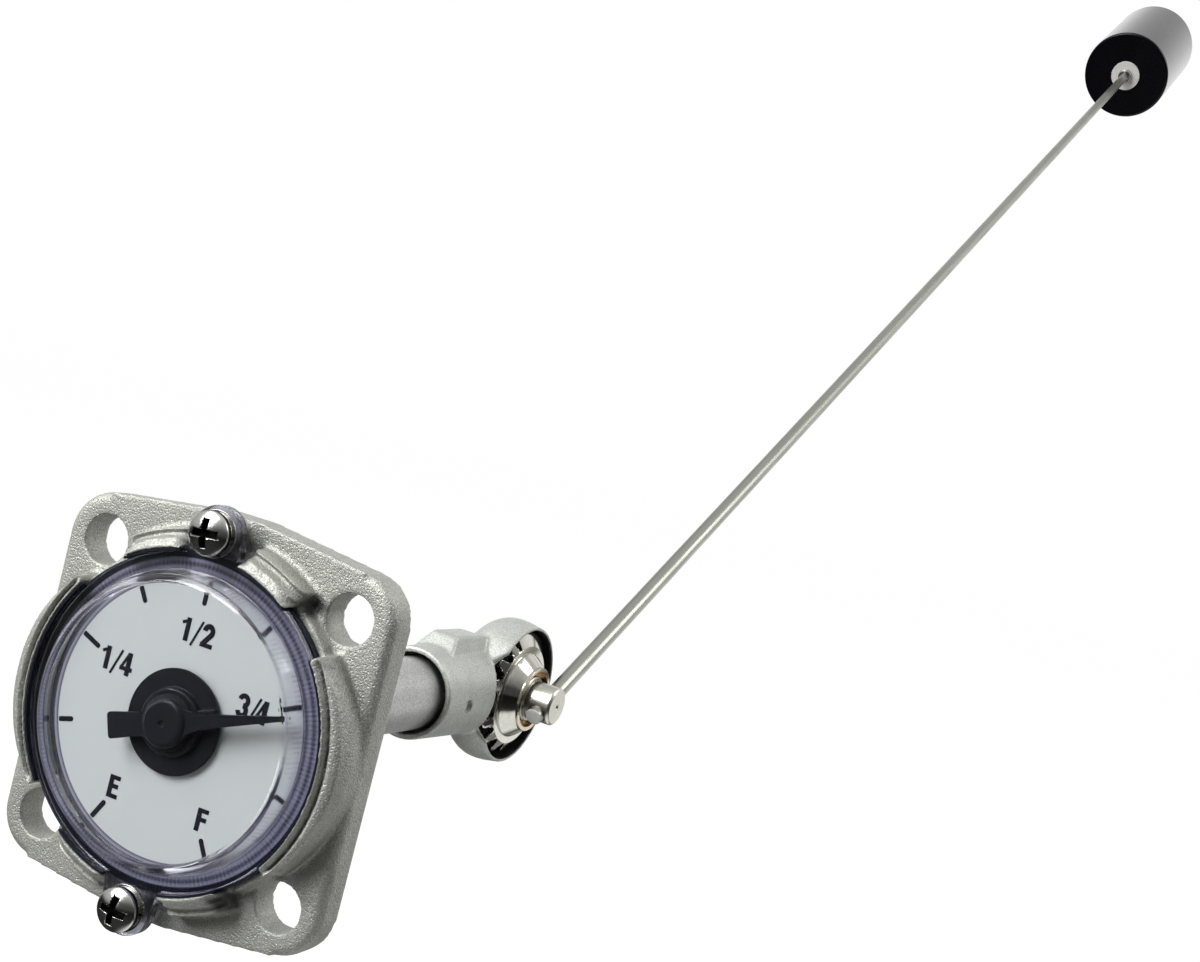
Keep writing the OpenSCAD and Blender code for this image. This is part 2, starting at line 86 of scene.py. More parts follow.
class Kind(Enum):
    """Shader node kinds, by the short names used here."""

    NOISE = "ShaderNodeTexNoise"
    CELLS = "ShaderNodeTexVoronoi"
    COORD = "ShaderNodeTexCoord"
    MAPPING = "ShaderNodeMapping"
    MATH = "ShaderNodeMath"
    VECTOR = "ShaderNodeVectorMath"
    MIX = "ShaderNodeMix"
    RANGE = "ShaderNodeMapRange"
    BUMP = "ShaderNodeBump"
    BEVEL = "ShaderNodeBevel"
    OCCLUSION = "ShaderNodeAmbientOcclusion"
    GEOMETRY = "ShaderNodeNewGeometry"
    SPLIT = "ShaderNodeSeparateXYZ"
    JOIN = "ShaderNodeCombineXYZ"
    FACING = "ShaderNodeLayerWeight"
    PATH = "ShaderNodeLightPath"
    GROUP = "ShaderNodeGroup"
    GROUP_IN = "NodeGroupInput"
    GROUP_OUT = "NodeGroupOutput"
    PRINCIPLED = "ShaderNodeBsdfPrincipled"
    DIFFUSE = "ShaderNodeBsdfDiffuse"
    TRANSPARENT = "ShaderNodeBsdfTransparent"
    EMISSION = "ShaderNodeEmission"
    BACKGROUND = "ShaderNodeBackground"
    SUM = "ShaderNodeAddShader"
    CHOICE = "ShaderNodeMixShader"
    MATERIAL_OUT = "ShaderNodeOutputMaterial"
    WORLD_OUT = "ShaderNodeOutputWorld"


def shade(colour: Colour, by: float = 1.0) -> tuple[float, float, float, float]:
    """Returns a colour made lighter or darker, in the form that a socket takes."""
    return (*(min(1.0, part * by) for part in colour), 1.0)


class Graph:
    """Adds and joins nodes in one node tree."""

    def __init__(self, tree: bpy.types.NodeTree) -> None:
        """Starts from an empty tree.

        Args:
            tree: The tree of a material, a world or a node group.
        """
        self.tree = tree
        tree.nodes.clear()

    def add(self, kind: Kind, inputs: Optional[dict] = None, **settings: object) -> Node:
        """Adds a node.

        Args:
            kind: The node's kind.
            inputs: Socket name or index to a value, or to an output socket to join.
            **settings: Properties set on the node before its inputs.

        Returns:
            The new node.
        """
        node = self.tree.nodes.new(kind.value)
        for key, value in settings.items():
            setattr(node, key, value)
        for key, value in (inputs or {}).items():
            if isinstance(value, Socket):
                self.tree.links.new(value, node.inputs[key])
            else:
                node.inputs[key].default_value = value
        return node

    def feed(self, node: Node, name: str, value: Socket) -> None:
        """Joins a socket to a node's input, in place of what fed it before."""
        self.tree.links.new(value, node.inputs[name])

    @staticmethod
    def fed(node: Node, name: str) -> Socket:
        """Returns the socket that feeds a node's input."""
        return node.inputs[name].links[0].from_socket

    def math(self, how: str, first: object, second: object = 0.0) -> Socket:
        """Adds a math node.

        Args:
            how: The operation.
            first: A number or a socket.
            second: A number or a socket.

        Returns:
            The result's socket.
        """
        return self.add(Kind.MATH, {0: first, 1: second}, operation=how).outputs[0]

    def gap(self, value: Socket, middle: float) -> Socket:
        """Returns how far a value lies from a number, on either side."""
        return self.math("ABSOLUTE", self.math("SUBTRACT", value, middle))

    def length(self, first: Socket, second: Socket) -> Socket:
        """Returns the length of a vector with two parts."""
        squares = self.math("ADD", self.math("POWER", first, 2.0), self.math("POWER", second, 2.0))
        return self.math("SQRT", squares)

    def weigh(self, *terms: tuple[float, Socket]) -> Socket:
        """Adds up sockets, each times its weight.

        Args:
            *terms: Weight and socket of each.

        Returns:
            The sum's socket.
        """
        total = None
        for weight, socket in terms:
            part = self.math("MULTIPLY", socket, weight)
            total = part if total is None else self.math("ADD", total, part)
        return total

    def blend(self, factor: object, first: object, second: object) -> Socket:
        """Mixes two colours.

        Args:
            factor: A number or a socket.
            first: A colour or a socket.
            second: A colour or a socket.

        Returns:
            The mixed colour's socket.
        """
        return self.add(Kind.MIX, {0: factor, 6: first, 7: second}, data_type="RGBA").outputs[2]

    def remap(
        self, value: Socket, low: float, high: float, to_low: float = 0.0, to_high: float = 1.0
    ) -> Socket:
        """Maps one range onto another, with its ends held.

        Args:
            value: The socket that is mapped.
            low: Start of its range.
            high: End of its range.
            to_low: What the start becomes.
            to_high: What the end becomes.

        Returns:
            The mapped socket.
        """
        ends = {"Value": value, "From Min": low, "From Max": high, "To Min": to_low, "To Max": to_high}
        return self.add(Kind.RANGE, ends).outputs[0]

    def noise(self, vector: Socket, scale: object, detail: float, roughness: float = 0.5) -> Socket:
        """Adds noise.

        Args:
            vector: Where it is read.
            scale: A number or a socket.
            detail: How many finer layers it has.
            roughness: How strong the finer layers are.

        Returns:
            The noise's socket, about a half on average.
        """
        inputs = {"Vector": vector, "Scale": scale, "Detail": detail, "Roughness": roughness}
        return self.add(Kind.NOISE, inputs).outputs[0]

    def coords(self) -> tuple[Socket, list[Socket]]:
        """Adds the object coordinates.

        Returns:
            Their socket, and the sockets of X, Y and Z.
        """
        whole = self.add(Kind.COORD).outputs["Object"]
        return whole, list(self.add(Kind.SPLIT, {0: whole}).outputs)


class Effects:
    """Node groups that several finishes share, each built once."""

    made: dict[str, bpy.types.NodeTree] = {}

    @classmethod
    def _start(
        cls, name: str, inputs: dict[str, tuple[str, object]], outputs: dict[str, str]
    ) -> tuple[Graph, Node, Node]:
        """Makes an empty group with its sockets.

        Args:
            name: The group's name.
            inputs: Socket name to its type and default.
            outputs: Socket name to its type.

        Returns:
            The group's graph, its input node and its output node.
        """
        tree = bpy.data.node_groups.new(name, "ShaderNodeTree")
        for label, (kind, default) in inputs.items():
            socket = tree.interface.new_socket(name=label, in_out="INPUT", socket_type=kind)
            if default is not None:
                socket.default_value = default
        for label, kind in outputs.items():
            tree.interface.new_socket(name=label, in_out="OUTPUT", socket_type=kind)
        graph = Graph(tree)
        cls.made[name] = tree
        return graph, graph.add(Kind.GROUP_IN), graph.add(Kind.GROUP_OUT)

    @classmethod
    def cast_skin(cls) -> bpy.types.NodeTree:
        """Builds sand-cast grain: coarse pits over a fine grain, with the tone that goes with them.

        Returns:
            The group.
        """
        if "cast_skin" in cls.made:
            return cls.made["cast_skin"]
        graph, given, out = cls._start(
            "cast_skin",
            {"Vector": ("NodeSocketVector", None), "Grain": ("NodeSocketFloat", 1600.0)},
            {"Height": "NodeSocketFloat", "Tone": "NodeSocketFloat"},
        )
        vector, grain = given.outputs["Vector"], given.outputs["Grain"]
        fine = graph.noise(vector, grain, 3.0, 0.6)
        coarse = graph.noise(vector, graph.math("MULTIPLY", grain, 0.42), 2.0)
        wide = graph.noise(vector, graph.math("MULTIPLY", grain, 0.05), 2.0)
        cells = graph.add(Kind.CELLS, {"Vector": vector, "Scale": graph.math("MULTIPLY", grain, 0.55)})
        pits = graph.remap(cells.outputs["Distance"], 0.05, 0.45)
        graph.feed(out, "Height", graph.weigh((0.55, fine), (0.35, pits), (0.45, coarse)))
        graph.feed(out, "Tone", graph.weigh((0.85, fine), (0.15, wide)))
        return graph.tree

    @classmethod
    def drawn_streaks(cls) -> bpy.types.NodeTree:
        """Builds fine streaks along local Y, as drawing or turning leaves them.

        Returns:
            The group.
        """
        if "drawn_streaks" in cls.made:
            return cls.made["drawn_streaks"]
        graph, given, out = cls._start(
            "drawn_streaks",
            {
                "Vector": ("NodeSocketVector", None),
                "Scale": ("NodeSocketFloat", 3000.0),
                "Stretch": ("NodeSocketFloat", 0.02),
            },
            {"Height": "NodeSocketFloat", "Tone": "NodeSocketFloat"},
        )
        vector = given.outputs["Vector"]
        parts = graph.add(Kind.SPLIT, {0: vector}).outputs
        along = graph.math("MULTIPLY", parts[1], given.outputs["Stretch"])
        stretched = graph.add(Kind.JOIN, {0: parts[0], 1: along, 2: parts[2]}).outputs[0]
        lines = graph.noise(stretched, given.outputs["Scale"], 2.0)
        wide = graph.noise(vector, 90.0, 3.0)
        graph.feed(out, "Height", lines)
        graph.feed(out, "Tone", graph.weigh((0.5, lines), (0.5, wide)))
        return graph.tree

    @classmethod
    def corners(cls) -> bpy.types.NodeTree:
        """Builds masks of rubbed edges and of painted shade in inner corners, and a normal with soft edges.

        Returns:
            The group.
        """
        if "corners" in cls.made:
            return cls.made["corners"]
        graph, given, out = cls._start(
            "corners",
            {
                "Vector": ("NodeSocketVector", None),
                "Reach": ("NodeSocketFloat", 0.0006),
                "Hollow": ("NodeSocketFloat", 0.004),
            },
            {"Rubbed": "NodeSocketFloat", "Corner Shade": "NodeSocketFloat", "Normal": "NodeSocketVector"},
        )
        flat = graph.add(Kind.GEOMETRY).outputs["Normal"]
        rounded = graph.add(Kind.BEVEL, {"Radius": given.outputs["Reach"]}, samples=4).outputs[0]
        same = graph.add(Kind.VECTOR, {0: flat, 1: rounded}, operation="DOT_PRODUCT").outputs["Value"]
        patchy = graph.noise(given.outputs["Vector"], 260.0, 3.0)
        worn = graph.remap(patchy, 0.35, 0.6, 0.3, 1.0)
        shade_patches = graph.remap(patchy, 0.3, 0.7, 0.6, 1.0)
        # Painted shade: where ambient occlusion finds an inner corner or recess, the colour is darkened,
        # broken up in patches.
        exposed = graph.add(Kind.OCCLUSION, {"Distance": given.outputs["Hollow"]}, samples=6).outputs["AO"]
        graph.feed(out, "Rubbed", graph.math("MULTIPLY", graph.remap(same, 0.995, 0.9), worn))
        graph.feed(out, "Corner Shade", graph.math("MULTIPLY", graph.remap(exposed, 0.35, 0.85, 1.0, 0.0), shade_patches))
        graph.feed(out, "Normal", rounded)
        return graph.tree


@dataclass(frozen=True)
class Finish:
    """One surface finish, built as a material on first use."""

    name: str
    colour: Colour
    roughness: float = 0.4
    metallic: float = 0.0

    def material(self) -> bpy.types.Material:
        """Finds the finish's material, or makes it on first use.

        Returns:
            The material.
        """
        found = bpy.data.materials.get(self.name)
        if found is None:
            found = bpy.data.materials.new(self.name)
            found.use_nodes = True
            graph = Graph(found.node_tree)
            shader = graph.add(Kind.PRINCIPLED)
            shader.inputs["Base Color"].default_value = shade(self.colour)
            shader.inputs["Roughness"].default_value = self.roughness
            shader.inputs["Metallic"].default_value = self.metallic
            graph.add(Kind.MATERIAL_OUT, {"Surface": shader.outputs[0]})
            found.diffuse_color = shade(self.colour)
            self.dress(graph, shader)
        return found

    def dress(self, graph: Graph, shader: Node) -> None:
        """Adds the finish's own detail; a plain finish has none.

        Args:
            graph: The material's graph.
            shader: Its Principled shader.
        """

    def _group(self, graph: Graph, tree: bpy.types.NodeTree, inputs: dict) -> bpy.types.NodeOutputs:
        """Places a shared group in this material.

        Args:
            graph: The material's graph.
            tree: The shared group.
            inputs: Its inputs.

        Returns:
            The group's outputs, by name.
        """
        return graph.add(Kind.GROUP, inputs, node_tree=tree).outputs

    def _place(self, graph: Graph, turn: Point = (0.0, 0.0, 0.0)) -> Socket:
        """Adds object coordinates, turned to the piece's own direction.

        Args:
            graph: The material's graph.
            turn: Rotation in degrees.

        Returns:
            The coordinate socket.
        """
        coords = graph.add(Kind.COORD).outputs["Object"]
        angles = tuple(math.radians(angle) for angle in turn)
        return graph.add(Kind.MAPPING, {"Vector": coords, "Rotation": angles}).outputs[0]

    def _scaled(self, by: float) -> tuple[float, float, float, float]:
        """Returns the finish's colour made lighter or darker."""
        return shade(self.colour, by)


@dataclass(frozen=True)
class CastFinish(Finish):
    """Cast aluminium: grainy, a little warm, with rubbed edges and painted shade in its inner corners."""

    grain: float = 1600.0
    depth: float = 0.12
    rubbed: float = 0.5
    # How strongly inner corners are darkened as painted shade; dark is the share of the colour that they go
    # towards.
    corner_shade: float = 0.55
    hollow: float = 4.0
    edge: float = 0.3
    shades: Span = (0.66, 1.26)
    dark: float = 0.14
    bright: float = 1.3
    rougher: float = 0.07
    smoother: float = 0.05

    def dress(self, graph: Graph, shader: Node) -> None:
        """Adds grain, rubbed edges and painted shade in inner corners.

        Args:
            graph: The material's graph.
            shader: Its Principled shader.
        """
        where = self._place(graph)
        skin = self._group(graph, Effects.cast_skin(), {"Vector": where, "Grain": self.grain})
        sizes = {"Vector": where, "Reach": self.edge * MM, "Hollow": self.hollow * MM}
        marks = self._group(graph, Effects.corners(), sizes)
        tone = graph.remap(skin["Tone"], 0.35, 0.65)
        base = graph.blend(tone, self._scaled(self.shades[0]), self._scaled(self.shades[1]))
        # Painted shade: the colour goes towards a dark copy of itself in inner corners.
        base = graph.blend(graph.math("MULTIPLY", marks["Corner Shade"], self.corner_shade), base, self._scaled(self.dark))
        light = graph.math("MULTIPLY", marks["Rubbed"], self.rubbed)
        graph.feed(shader, "Base Color", graph.blend(light, base, self._scaled(self.bright)))
        rough, smooth = self.roughness + self.rougher, self.roughness - self.smoother
        graph.feed(shader, "Roughness", graph.remap(skin["Tone"], 0.3, 0.7, rough, smooth))
        relief = {"Height": skin["Height"], "Distance": self.depth * MM, "Normal": marks["Normal"]}
        graph.feed(shader, "Normal", graph.add(Kind.BUMP, relief).outputs[0])


@dataclass(frozen=True)
class HeadFinish(CastFinish):
    """The head's casting, with painted shade in the side grooves and painted shadows past the ends of the
    short ridges.
    """

    # The groove fields place the painted shade in the side grooves; the fields after them place the painted
    # shadows past the short ridges and set how dark both are.
    groove_r: float = 24.48
    groove_w: Span = (0.08, 0.26)
    groove_h: Span = (7.9, 8.3)
    groove_end: Span = (37.0, 35.0)
    shadow_r: float = 25.3
    shadow_w: Span = (0.8, 1.9)
    shadow_turns: Span = (53.8, -58.0)
    shadow_fade: Span = (0.02, 0.065)
    shadow_dark: float = 0.9
    shade_level: float = 0.08

    def dress(self, graph: Graph, shader: Node) -> None:
        """Adds the casting's skin, the painted shade in its grooves and the painted shadows past its short
        ridges.

        Args:
            graph: The material's graph.
            shader: Its Principled shader.
        """
        super().dress(graph, shader)
        coords, parts = graph.coords()
        radius = graph.length(parts[0], parts[2])
        lean = graph.math("ARCTAN2", parts[2], graph.math("ABSOLUTE", parts[0]))
        groove = self._groove(graph, coords, parts[1], radius, lean)
        # Painted shade in the grooves and painted shadows past the ridges, both darkening the colour.
        painted_shade_mask = graph.math("MAXIMUM", groove, self._painted_shadows(graph, parts[0], radius, lean))
        clean = graph.fed(shader, "Base Color")
        graph.feed(shader, "Base Color", graph.blend(painted_shade_mask, clean, self._scaled(self.shade_level)))

    def _groove(self, graph: Graph, coords: Socket, depth: Socket, radius: Socket, lean: Socket) -> Socket:
        """Masks the broken line of painted shade in the side grooves.

        Args:
            graph: The material's graph.
            coords: Object coordinates.
            depth: Their Y.
            radius: Distance from the dial's axis.
            lean: Angle above the dial's side, in radians.

        Returns:
            The mask.
        """
        thin, wide = (width * MM for width in self.groove_w)
        line = graph.remap(graph.gap(radius, self.groove_r * MM), thin, wide, 1.0, 0.0)
        low, high = (height * -MM for height in self.groove_h)
        line = graph.math("MULTIPLY", line, graph.remap(depth, low, high))
        end, start = (math.radians(turn) for turn in self.groove_end)
        beside = graph.remap(graph.math("ABSOLUTE", lean), end, start)
        broken = graph.remap(graph.noise(coords, 520.0, 3.0), 0.36, 0.52, 0.35, 0.9)
        return graph.math("MULTIPLY", line, graph.math("MULTIPLY", beside, broken))

    def _painted_shadows(self, graph: Graph, side: Socket, radius: Socket, lean: Socket) -> Socket:
        """Masks the painted shadows past the ends of the short ridges, at the dial's right only, where the
        ridges' shadows fall.

        Args:
            graph: The material's graph.
            side: Object X.
            radius: Distance from the dial's axis.
            lean: Angle above the dial's side, in radians.

        Returns:
            The mask.
        """
        inside, outside = (width * MM for width in self.shadow_w)
        past = [graph.gap(lean, math.radians(turn)) for turn in self.shadow_turns]
        beyond = graph.remap(graph.math("MINIMUM", *past), *self.shadow_fade, 1.0, 0.0)
        ring = graph.remap(graph.gap(radius, self.shadow_r * MM), inside, outside, 1.0, 0.0)
        right = graph.remap(side, 0.0, 1.0 * MM, 0.0, self.shadow_dark)
        return graph.math("MULTIPLY", graph.math("MULTIPLY", ring, beyond), right)


@dataclass(frozen=True)
class HousingFinish(CastFinish):
    """The gear housing's casting, with painted shade that makes the inside of its dish black."""

    # Where the inside of the dish lies, and the near-black colour painted there as shade.
    dish_r: Span = (12.45, 12.6)
    floor_x: Span = (2.0, 2.2)
    dish_shade: Colour = (0.018, 0.017, 0.02)

    def dress(self, graph: Graph, shader: Node) -> None:
        """Adds the casting's skin and the painted shade in the dish.

        Args:
            graph: The material's graph.
            shader: Its Principled shader.
        """
        super().dress(graph, shader)
        _, parts = graph.coords()
        radius = graph.length(graph.math("SUBTRACT", parts[1], HUB_Y * MM), parts[2])
        within = graph.remap(radius, self.dish_r[0] * MM, self.dish_r[1] * MM, 1.0, 0.0)
        above = graph.remap(parts[0], self.floor_x[0] * MM, self.floor_x[1] * MM)
        # Painted shade: the inside of the dish goes near-black.
        in_dish_shade = graph.math("MULTIPLY", within, above)
        clean = graph.fed(shader, "Base Color")
        graph.feed(shader, "Base Color", graph.blend(in_dish_shade, clean, shade(self.dish_shade)))


@dataclass(frozen=True)
class SteelFinish(Finish):
    """Bright metal with streaks along its working direction."""

    turn: Point = (0.0, 0.0, 0.0)
    streaks: float = 3000.0
    stretch: float = 0.02
    depth: float = 0.01
    tint: Optional[Colour] = None
    tint_r: Span = (5.0, 6.4)
    tint_share: float = 0.75
    # How strongly inner corners are darkened as painted shade, how far the occlusion looks, and the share of
    # the colour that they go towards.
    corner_shade: float = 0.0
    hollow: float = 1.2
    shades: Span = (0.86, 1.1)
    dark: float = 0.03
    rougher: float = 1.35
    smoother: float = 0.7

    def dress(self, graph: Graph, shader: Node) -> None:
        """Adds streaks and, where they are asked for, a straw heat tint in the drawn hub and painted shade in
        inner corners.

        Args:
            graph: The material's graph.
            shader: Its Principled shader.
        """
        where = self._place(graph, self.turn)
        sizes = {"Vector": where, "Scale": self.streaks, "Stretch": self.stretch}
        lines = self._group(graph, Effects.drawn_streaks(), sizes)
        tone = graph.remap(lines["Tone"], 0.3, 0.7)
        base = graph.blend(tone, self._scaled(self.shades[0]), self._scaled(self.shades[1]))
        if self.tint is not None:
            base = self._heat(graph, base)
        # Painted shade: the colour goes towards a dark copy of itself in inner corners.
        if self.corner_shade > 0.0:
            marks = self._group(graph, Effects.corners(), {"Vector": where, "Hollow": self.hollow * MM})
            corner_shade = graph.math("MULTIPLY", marks["Corner Shade"], self.corner_shade)
            base = graph.blend(corner_shade, base, self._scaled(self.dark))
        graph.feed(shader, "Base Color", base)
        rough, smooth = self.roughness * self.rougher, self.roughness * self.smoother
        graph.feed(shader, "Roughness", graph.remap(lines["Tone"], 0.3, 0.7, rough, smooth))
        bump = graph.add(Kind.BUMP, {"Height": lines["Height"], "Distance": self.depth * MM, "Strength": 1.0})
        graph.feed(shader, "Normal", bump.outputs[0])

    def _heat(self, graph: Graph, base: Socket) -> Socket:
        """Tints the metal close to the arm's pivot.

        Args:
            graph: The material's graph.
            base: The colour so far.

        Returns:
            The tinted colour.
        """
        _, parts = graph.coords()
        radius = graph.length(graph.math("SUBTRACT", parts[1], HUB_Y * MM), parts[2])
        near = graph.remap(radius, self.tint_r[0] * MM, self.tint_r[1] * MM, 1.0, 0.0)
        return graph.blend(graph.math("MULTIPLY", near, self.tint_share), base, shade(self.tint))


@dataclass(frozen=True)
class ScrewFinish(SteelFinish):
    """Bright pan heads whose cross recess is painted black as shade."""

    centre: Point = (0.0, 7.3, 26.4)
    reach: Span = (4.78, 4.6)
    # The share of the colour that the cross recess is darkened to as painted shade; the recess is also made
    # rougher.
    black: float = 0.02
    dull: float = 0.5

    def dress(self, graph: Graph, shader: Node) -> None:
        """Adds the polish, and painted shade wherever the metal lies below the head's round top.

        Args:
            graph: The material's graph.
            shader: Its Principled shader.
        """
        super().dress(graph, shader)
        coords = graph.add(Kind.COORD).outputs["Object"]
        upper = graph.add(Kind.VECTOR, {0: coords}, operation="ABSOLUTE").outputs["Vector"]
        heart = tuple(part * MM for part in self.centre)
        near = graph.add(Kind.VECTOR, {0: upper, 1: heart}, operation="DISTANCE").outputs["Value"]
        # Painted shade: the cross recess, below the head's round top, goes nearly black.
        below = graph.remap(near, self.reach[0] * MM, self.reach[1] * MM)
        bright = graph.fed(shader, "Base Color")
        graph.feed(shader, "Base Color", graph.blend(below, bright, self._scaled(self.black)))
        smooth = graph.fed(shader, "Roughness")
        graph.feed(shader, "Roughness", graph.math("ADD", smooth, graph.math("MULTIPLY", below, self.dull)))


@dataclass(frozen=True)
class RodFinish(SteelFinish):
    """Drawn steel rod with a dull sawn end beside the pivot."""

    sawn_at: float = -4.6
    sawn_fade: float = 0.1
    sawn: Colour = (0.8, 0.8, 0.77)
    sawn_dull: float = 0.4
    sawn_metallic: float = 0.1

    def dress(self, graph: Graph, shader: Node) -> None:
        """Adds the drawing marks and the sawn end.

        Args:
            graph: The material's graph.
            shader: Its Principled shader.
        """
        super().dress(graph, shader)
        lean = math.radians(ARM_TILT)
        _, parts = graph.coords()
        ahead = graph.math("MULTIPLY", graph.math("SUBTRACT", parts[1], HUB_Y * MM), math.cos(lean))
        along = graph.math("ADD", ahead, graph.math("MULTIPLY", parts[2], math.sin(lean)))
        cut = graph.remap(along, (self.sawn_at + self.sawn_fade) * MM, self.sawn_at * MM)
        drawn = graph.fed(shader, "Base Color")
        graph.feed(shader, "Base Color", graph.blend(cut, drawn, shade(self.sawn)))
        dull = graph.math("MULTIPLY", cut, self.sawn_dull)
        graph.feed(shader, "Roughness", graph.math("ADD", graph.fed(shader, "Roughness"), dull))
        graph.feed(shader, "Metallic", graph.remap(cut, 0.0, 1.0, self.metallic, self.sawn_metallic))


@dataclass(frozen=True)
class MouldedFinish(Finish):
    """Moulded plastic or rubber with a fine skin and faint smears."""

    grain: float = 5000.0
    depth: float = 0.02
    uneven: float = 0.2
    gloss: float = 0.5
    rougher: float = 0.08
    smoother: float = 0.06

    def dress(self, graph: Graph, shader: Node) -> None:
        """Adds the moulded skin.

        Args:
            graph: The material's graph.
            shader: Its Principled shader.
        """
        shader.inputs["Specular IOR Level"].default_value = self.gloss
        where = self._place(graph)
        skin = self._group(graph, Effects.cast_skin(), {"Vector": where, "Grain": self.grain})
        tone = graph.remap(skin["Tone"], 0.3, 0.7)
        base = graph.blend(tone, self._scaled(1.0 - self.uneven), self._scaled(1.0 + self.uneven))
        graph.feed(shader, "Base Color", base)
        rough, smooth = self.roughness + self.rougher, self.roughness - self.smoother
        graph.feed(shader, "Roughness", graph.remap(skin["Tone"], 0.3, 0.7, rough, smooth))
        bump = graph.add(Kind.BUMP, {"Height": skin["Height"], "Distance": self.depth * MM, "Strength": 1.0})
        graph.feed(shader, "Normal", bump.outputs[0])


@dataclass(frozen=True)
class FloatFinish(MouldedFinish):
    """Closed-cell rubber with a fine skin that shines where it is seen edge-on."""

    coat_facing: Span = (0.55, 0.85)
    coat_roughness: float = 0.16
    coat_ior: float = 1.75

    def dress(self, graph: Graph, shader: Node) -> None:
        """Adds the moulded skin and its silky edge.

        Args:
            graph: The material's graph.
            shader: Its Principled shader.
        """
        super().dress(graph, shader)
        facing = graph.add(Kind.FACING, {"Blend": 0.5}).outputs["Facing"]
        graph.feed(shader, "Coat Weight", graph.remap(facing, *self.coat_facing))
        shader.inputs["Coat Roughness"].default_value = self.coat_roughness
        shader.inputs["Coat IOR"].default_value = self.coat_ior


@dataclass(frozen=True)
class DialFinish(MouldedFinish):
    """Dial enamel, with painted shade and bands on the border that the cover's foot stands on."""

    # The dark colour painted as shade under the cover's wall, and where that painted shade starts.
    under_wall_shade: Colour = (0.24, 0.235, 0.285)
    border_r: float = 19.32
    border_edge: float = 0.12
    border_shades: Span = (0.22, 1.5)
    ribs: float = 220.0
    rib_depth: float = 0.16
    rib_from: Span = (0.9, 1.3)
    band_w: float = 1.15
    band_depth: float = 0.42

    def dress(self, graph: Graph, shader: Node) -> None:
        """Adds the enamel's skin and, past its edge, the border painted dark as shade, with painted light and
        dark bands and fine radial ribs.

        Args:
            graph: The material's graph.
            shader: Its Principled shader.
        """
        super().dress(graph, shader)
        _, parts = graph.coords()
        radius = graph.length(parts[0], parts[2])
        turn = graph.math("ARCTAN2", parts[2], parts[0])
        ribs = graph.math("SINE", graph.math("MULTIPLY", turn, self.ribs))
        away = graph.math("SUBTRACT", radius, self.border_r * MM)
        bands = graph.math("COSINE", graph.math("MULTIPLY", away, 2.0 * math.pi / (self.band_w * MM)))
        ribbed = graph.remap(away, self.rib_from[0] * MM, self.rib_from[1] * MM, 0.0, self.rib_depth)
        bands = graph.math("MULTIPLY", bands, self.band_depth)
        tone = graph.math("SUBTRACT", graph.math("MULTIPLY", ribs, ribbed), bands)
        # Painted shade under the cover's wall, with painted light and dark bands across it.
        dark, light = (shade(self.under_wall_shade, by) for by in self.border_shades)
        dull = graph.blend(graph.remap(tone, -0.5, 0.5), dark, light)
        past = graph.remap(radius, self.border_r * MM, (self.border_r + self.border_edge) * MM)
        enamel = graph.fed(shader, "Base Color")
        graph.feed(shader, "Base Color", graph.blend(past, enamel, dull))


@dataclass(frozen=True)
class ClearFinish(Finish):
    """Clear moulded plastic: no colour in the window, a violet-blue cast in its thick wall."""

    wall: Colour = (0.60, 0.60, 0.70)
    wall_r: Span = (19.35, 19.75)
    dull: float = 0.16
    ribs: float = 190.0
    rib_shade: float = 0.74
    smeared: float = 0.04
    ior: float = 1.49
    shadow: Colour = (0.93, 0.94, 0.96)

    def dress(self, graph: Graph, shader: Node) -> None:
        """Makes it clear, with the wall's cast by distance from the dial's centre.

        Args:
            graph: The material's graph.
            shader: Its Principled shader.
        """
        coords, parts = graph.coords()
        wall = graph.remap(graph.length(parts[0], parts[2]), self.wall_r[0] * MM, self.wall_r[1] * MM)
        streaked = self._ribbed(graph, coords, parts)
        graph.feed(shader, "Base Color", graph.blend(wall, shade(self.colour), streaked))
        smears = graph.noise(coords, 140.0, 3.0)
        clear = graph.remap(smears, 0.35, 0.7, self.roughness, self.roughness + self.smeared)
        graph.feed(shader, "Roughness", graph.math("ADD", clear, graph.math("MULTIPLY", wall, self.dull)))
        shader.inputs["Transmission Weight"].default_value = 1.0
        shader.inputs["IOR"].default_value = self.ior
        self._pass_light(graph, shader)

    def _ribbed(self, graph: Graph, coords: Socket, parts: list[Socket]) -> Socket:
        """Streaks the wall's colour with upright ribs, fainter in patches.

        Args:
            graph: The material's graph.
            coords: Object coordinates.
            parts: Their X, Y and Z.

        Returns:
            The streaked colour.
        """
        turn = graph.math("ARCTAN2", parts[2], parts[0])
        ribs = graph.remap(graph.math("SINE", graph.math("MULTIPLY", turn, self.ribs)), -1.0, 1.0)
        ribs = graph.math("MULTIPLY", ribs, graph.remap(graph.noise(coords, 420.0, 2.0), 0.4, 0.6))
        return graph.blend(ribs, shade(self.wall), shade(self.wall, self.rib_shade))

    def _pass_light(self, graph: Graph, shader: Node) -> None:
        """Lets lamps and scattered light through, so that the cover throws only a faint shadow.

        Args:
            graph: The material's graph.
            shader: Its Principled shader.
        """
        path = graph.add(Kind.PATH).outputs
        lit = graph.math("MAXIMUM", path["Is Shadow Ray"], path["Is Diffuse Ray"])
        open_way = graph.add(Kind.TRANSPARENT, {"Color": shade(self.shadow)}).outputs[0]
        both = graph.add(Kind.CHOICE, {0: lit, 1: shader.outputs[0], 2: open_way}).outputs[0]
        end = next(node for node in graph.tree.nodes if node.type == "OUTPUT_MATERIAL")
        graph.feed(end, "Surface", both)


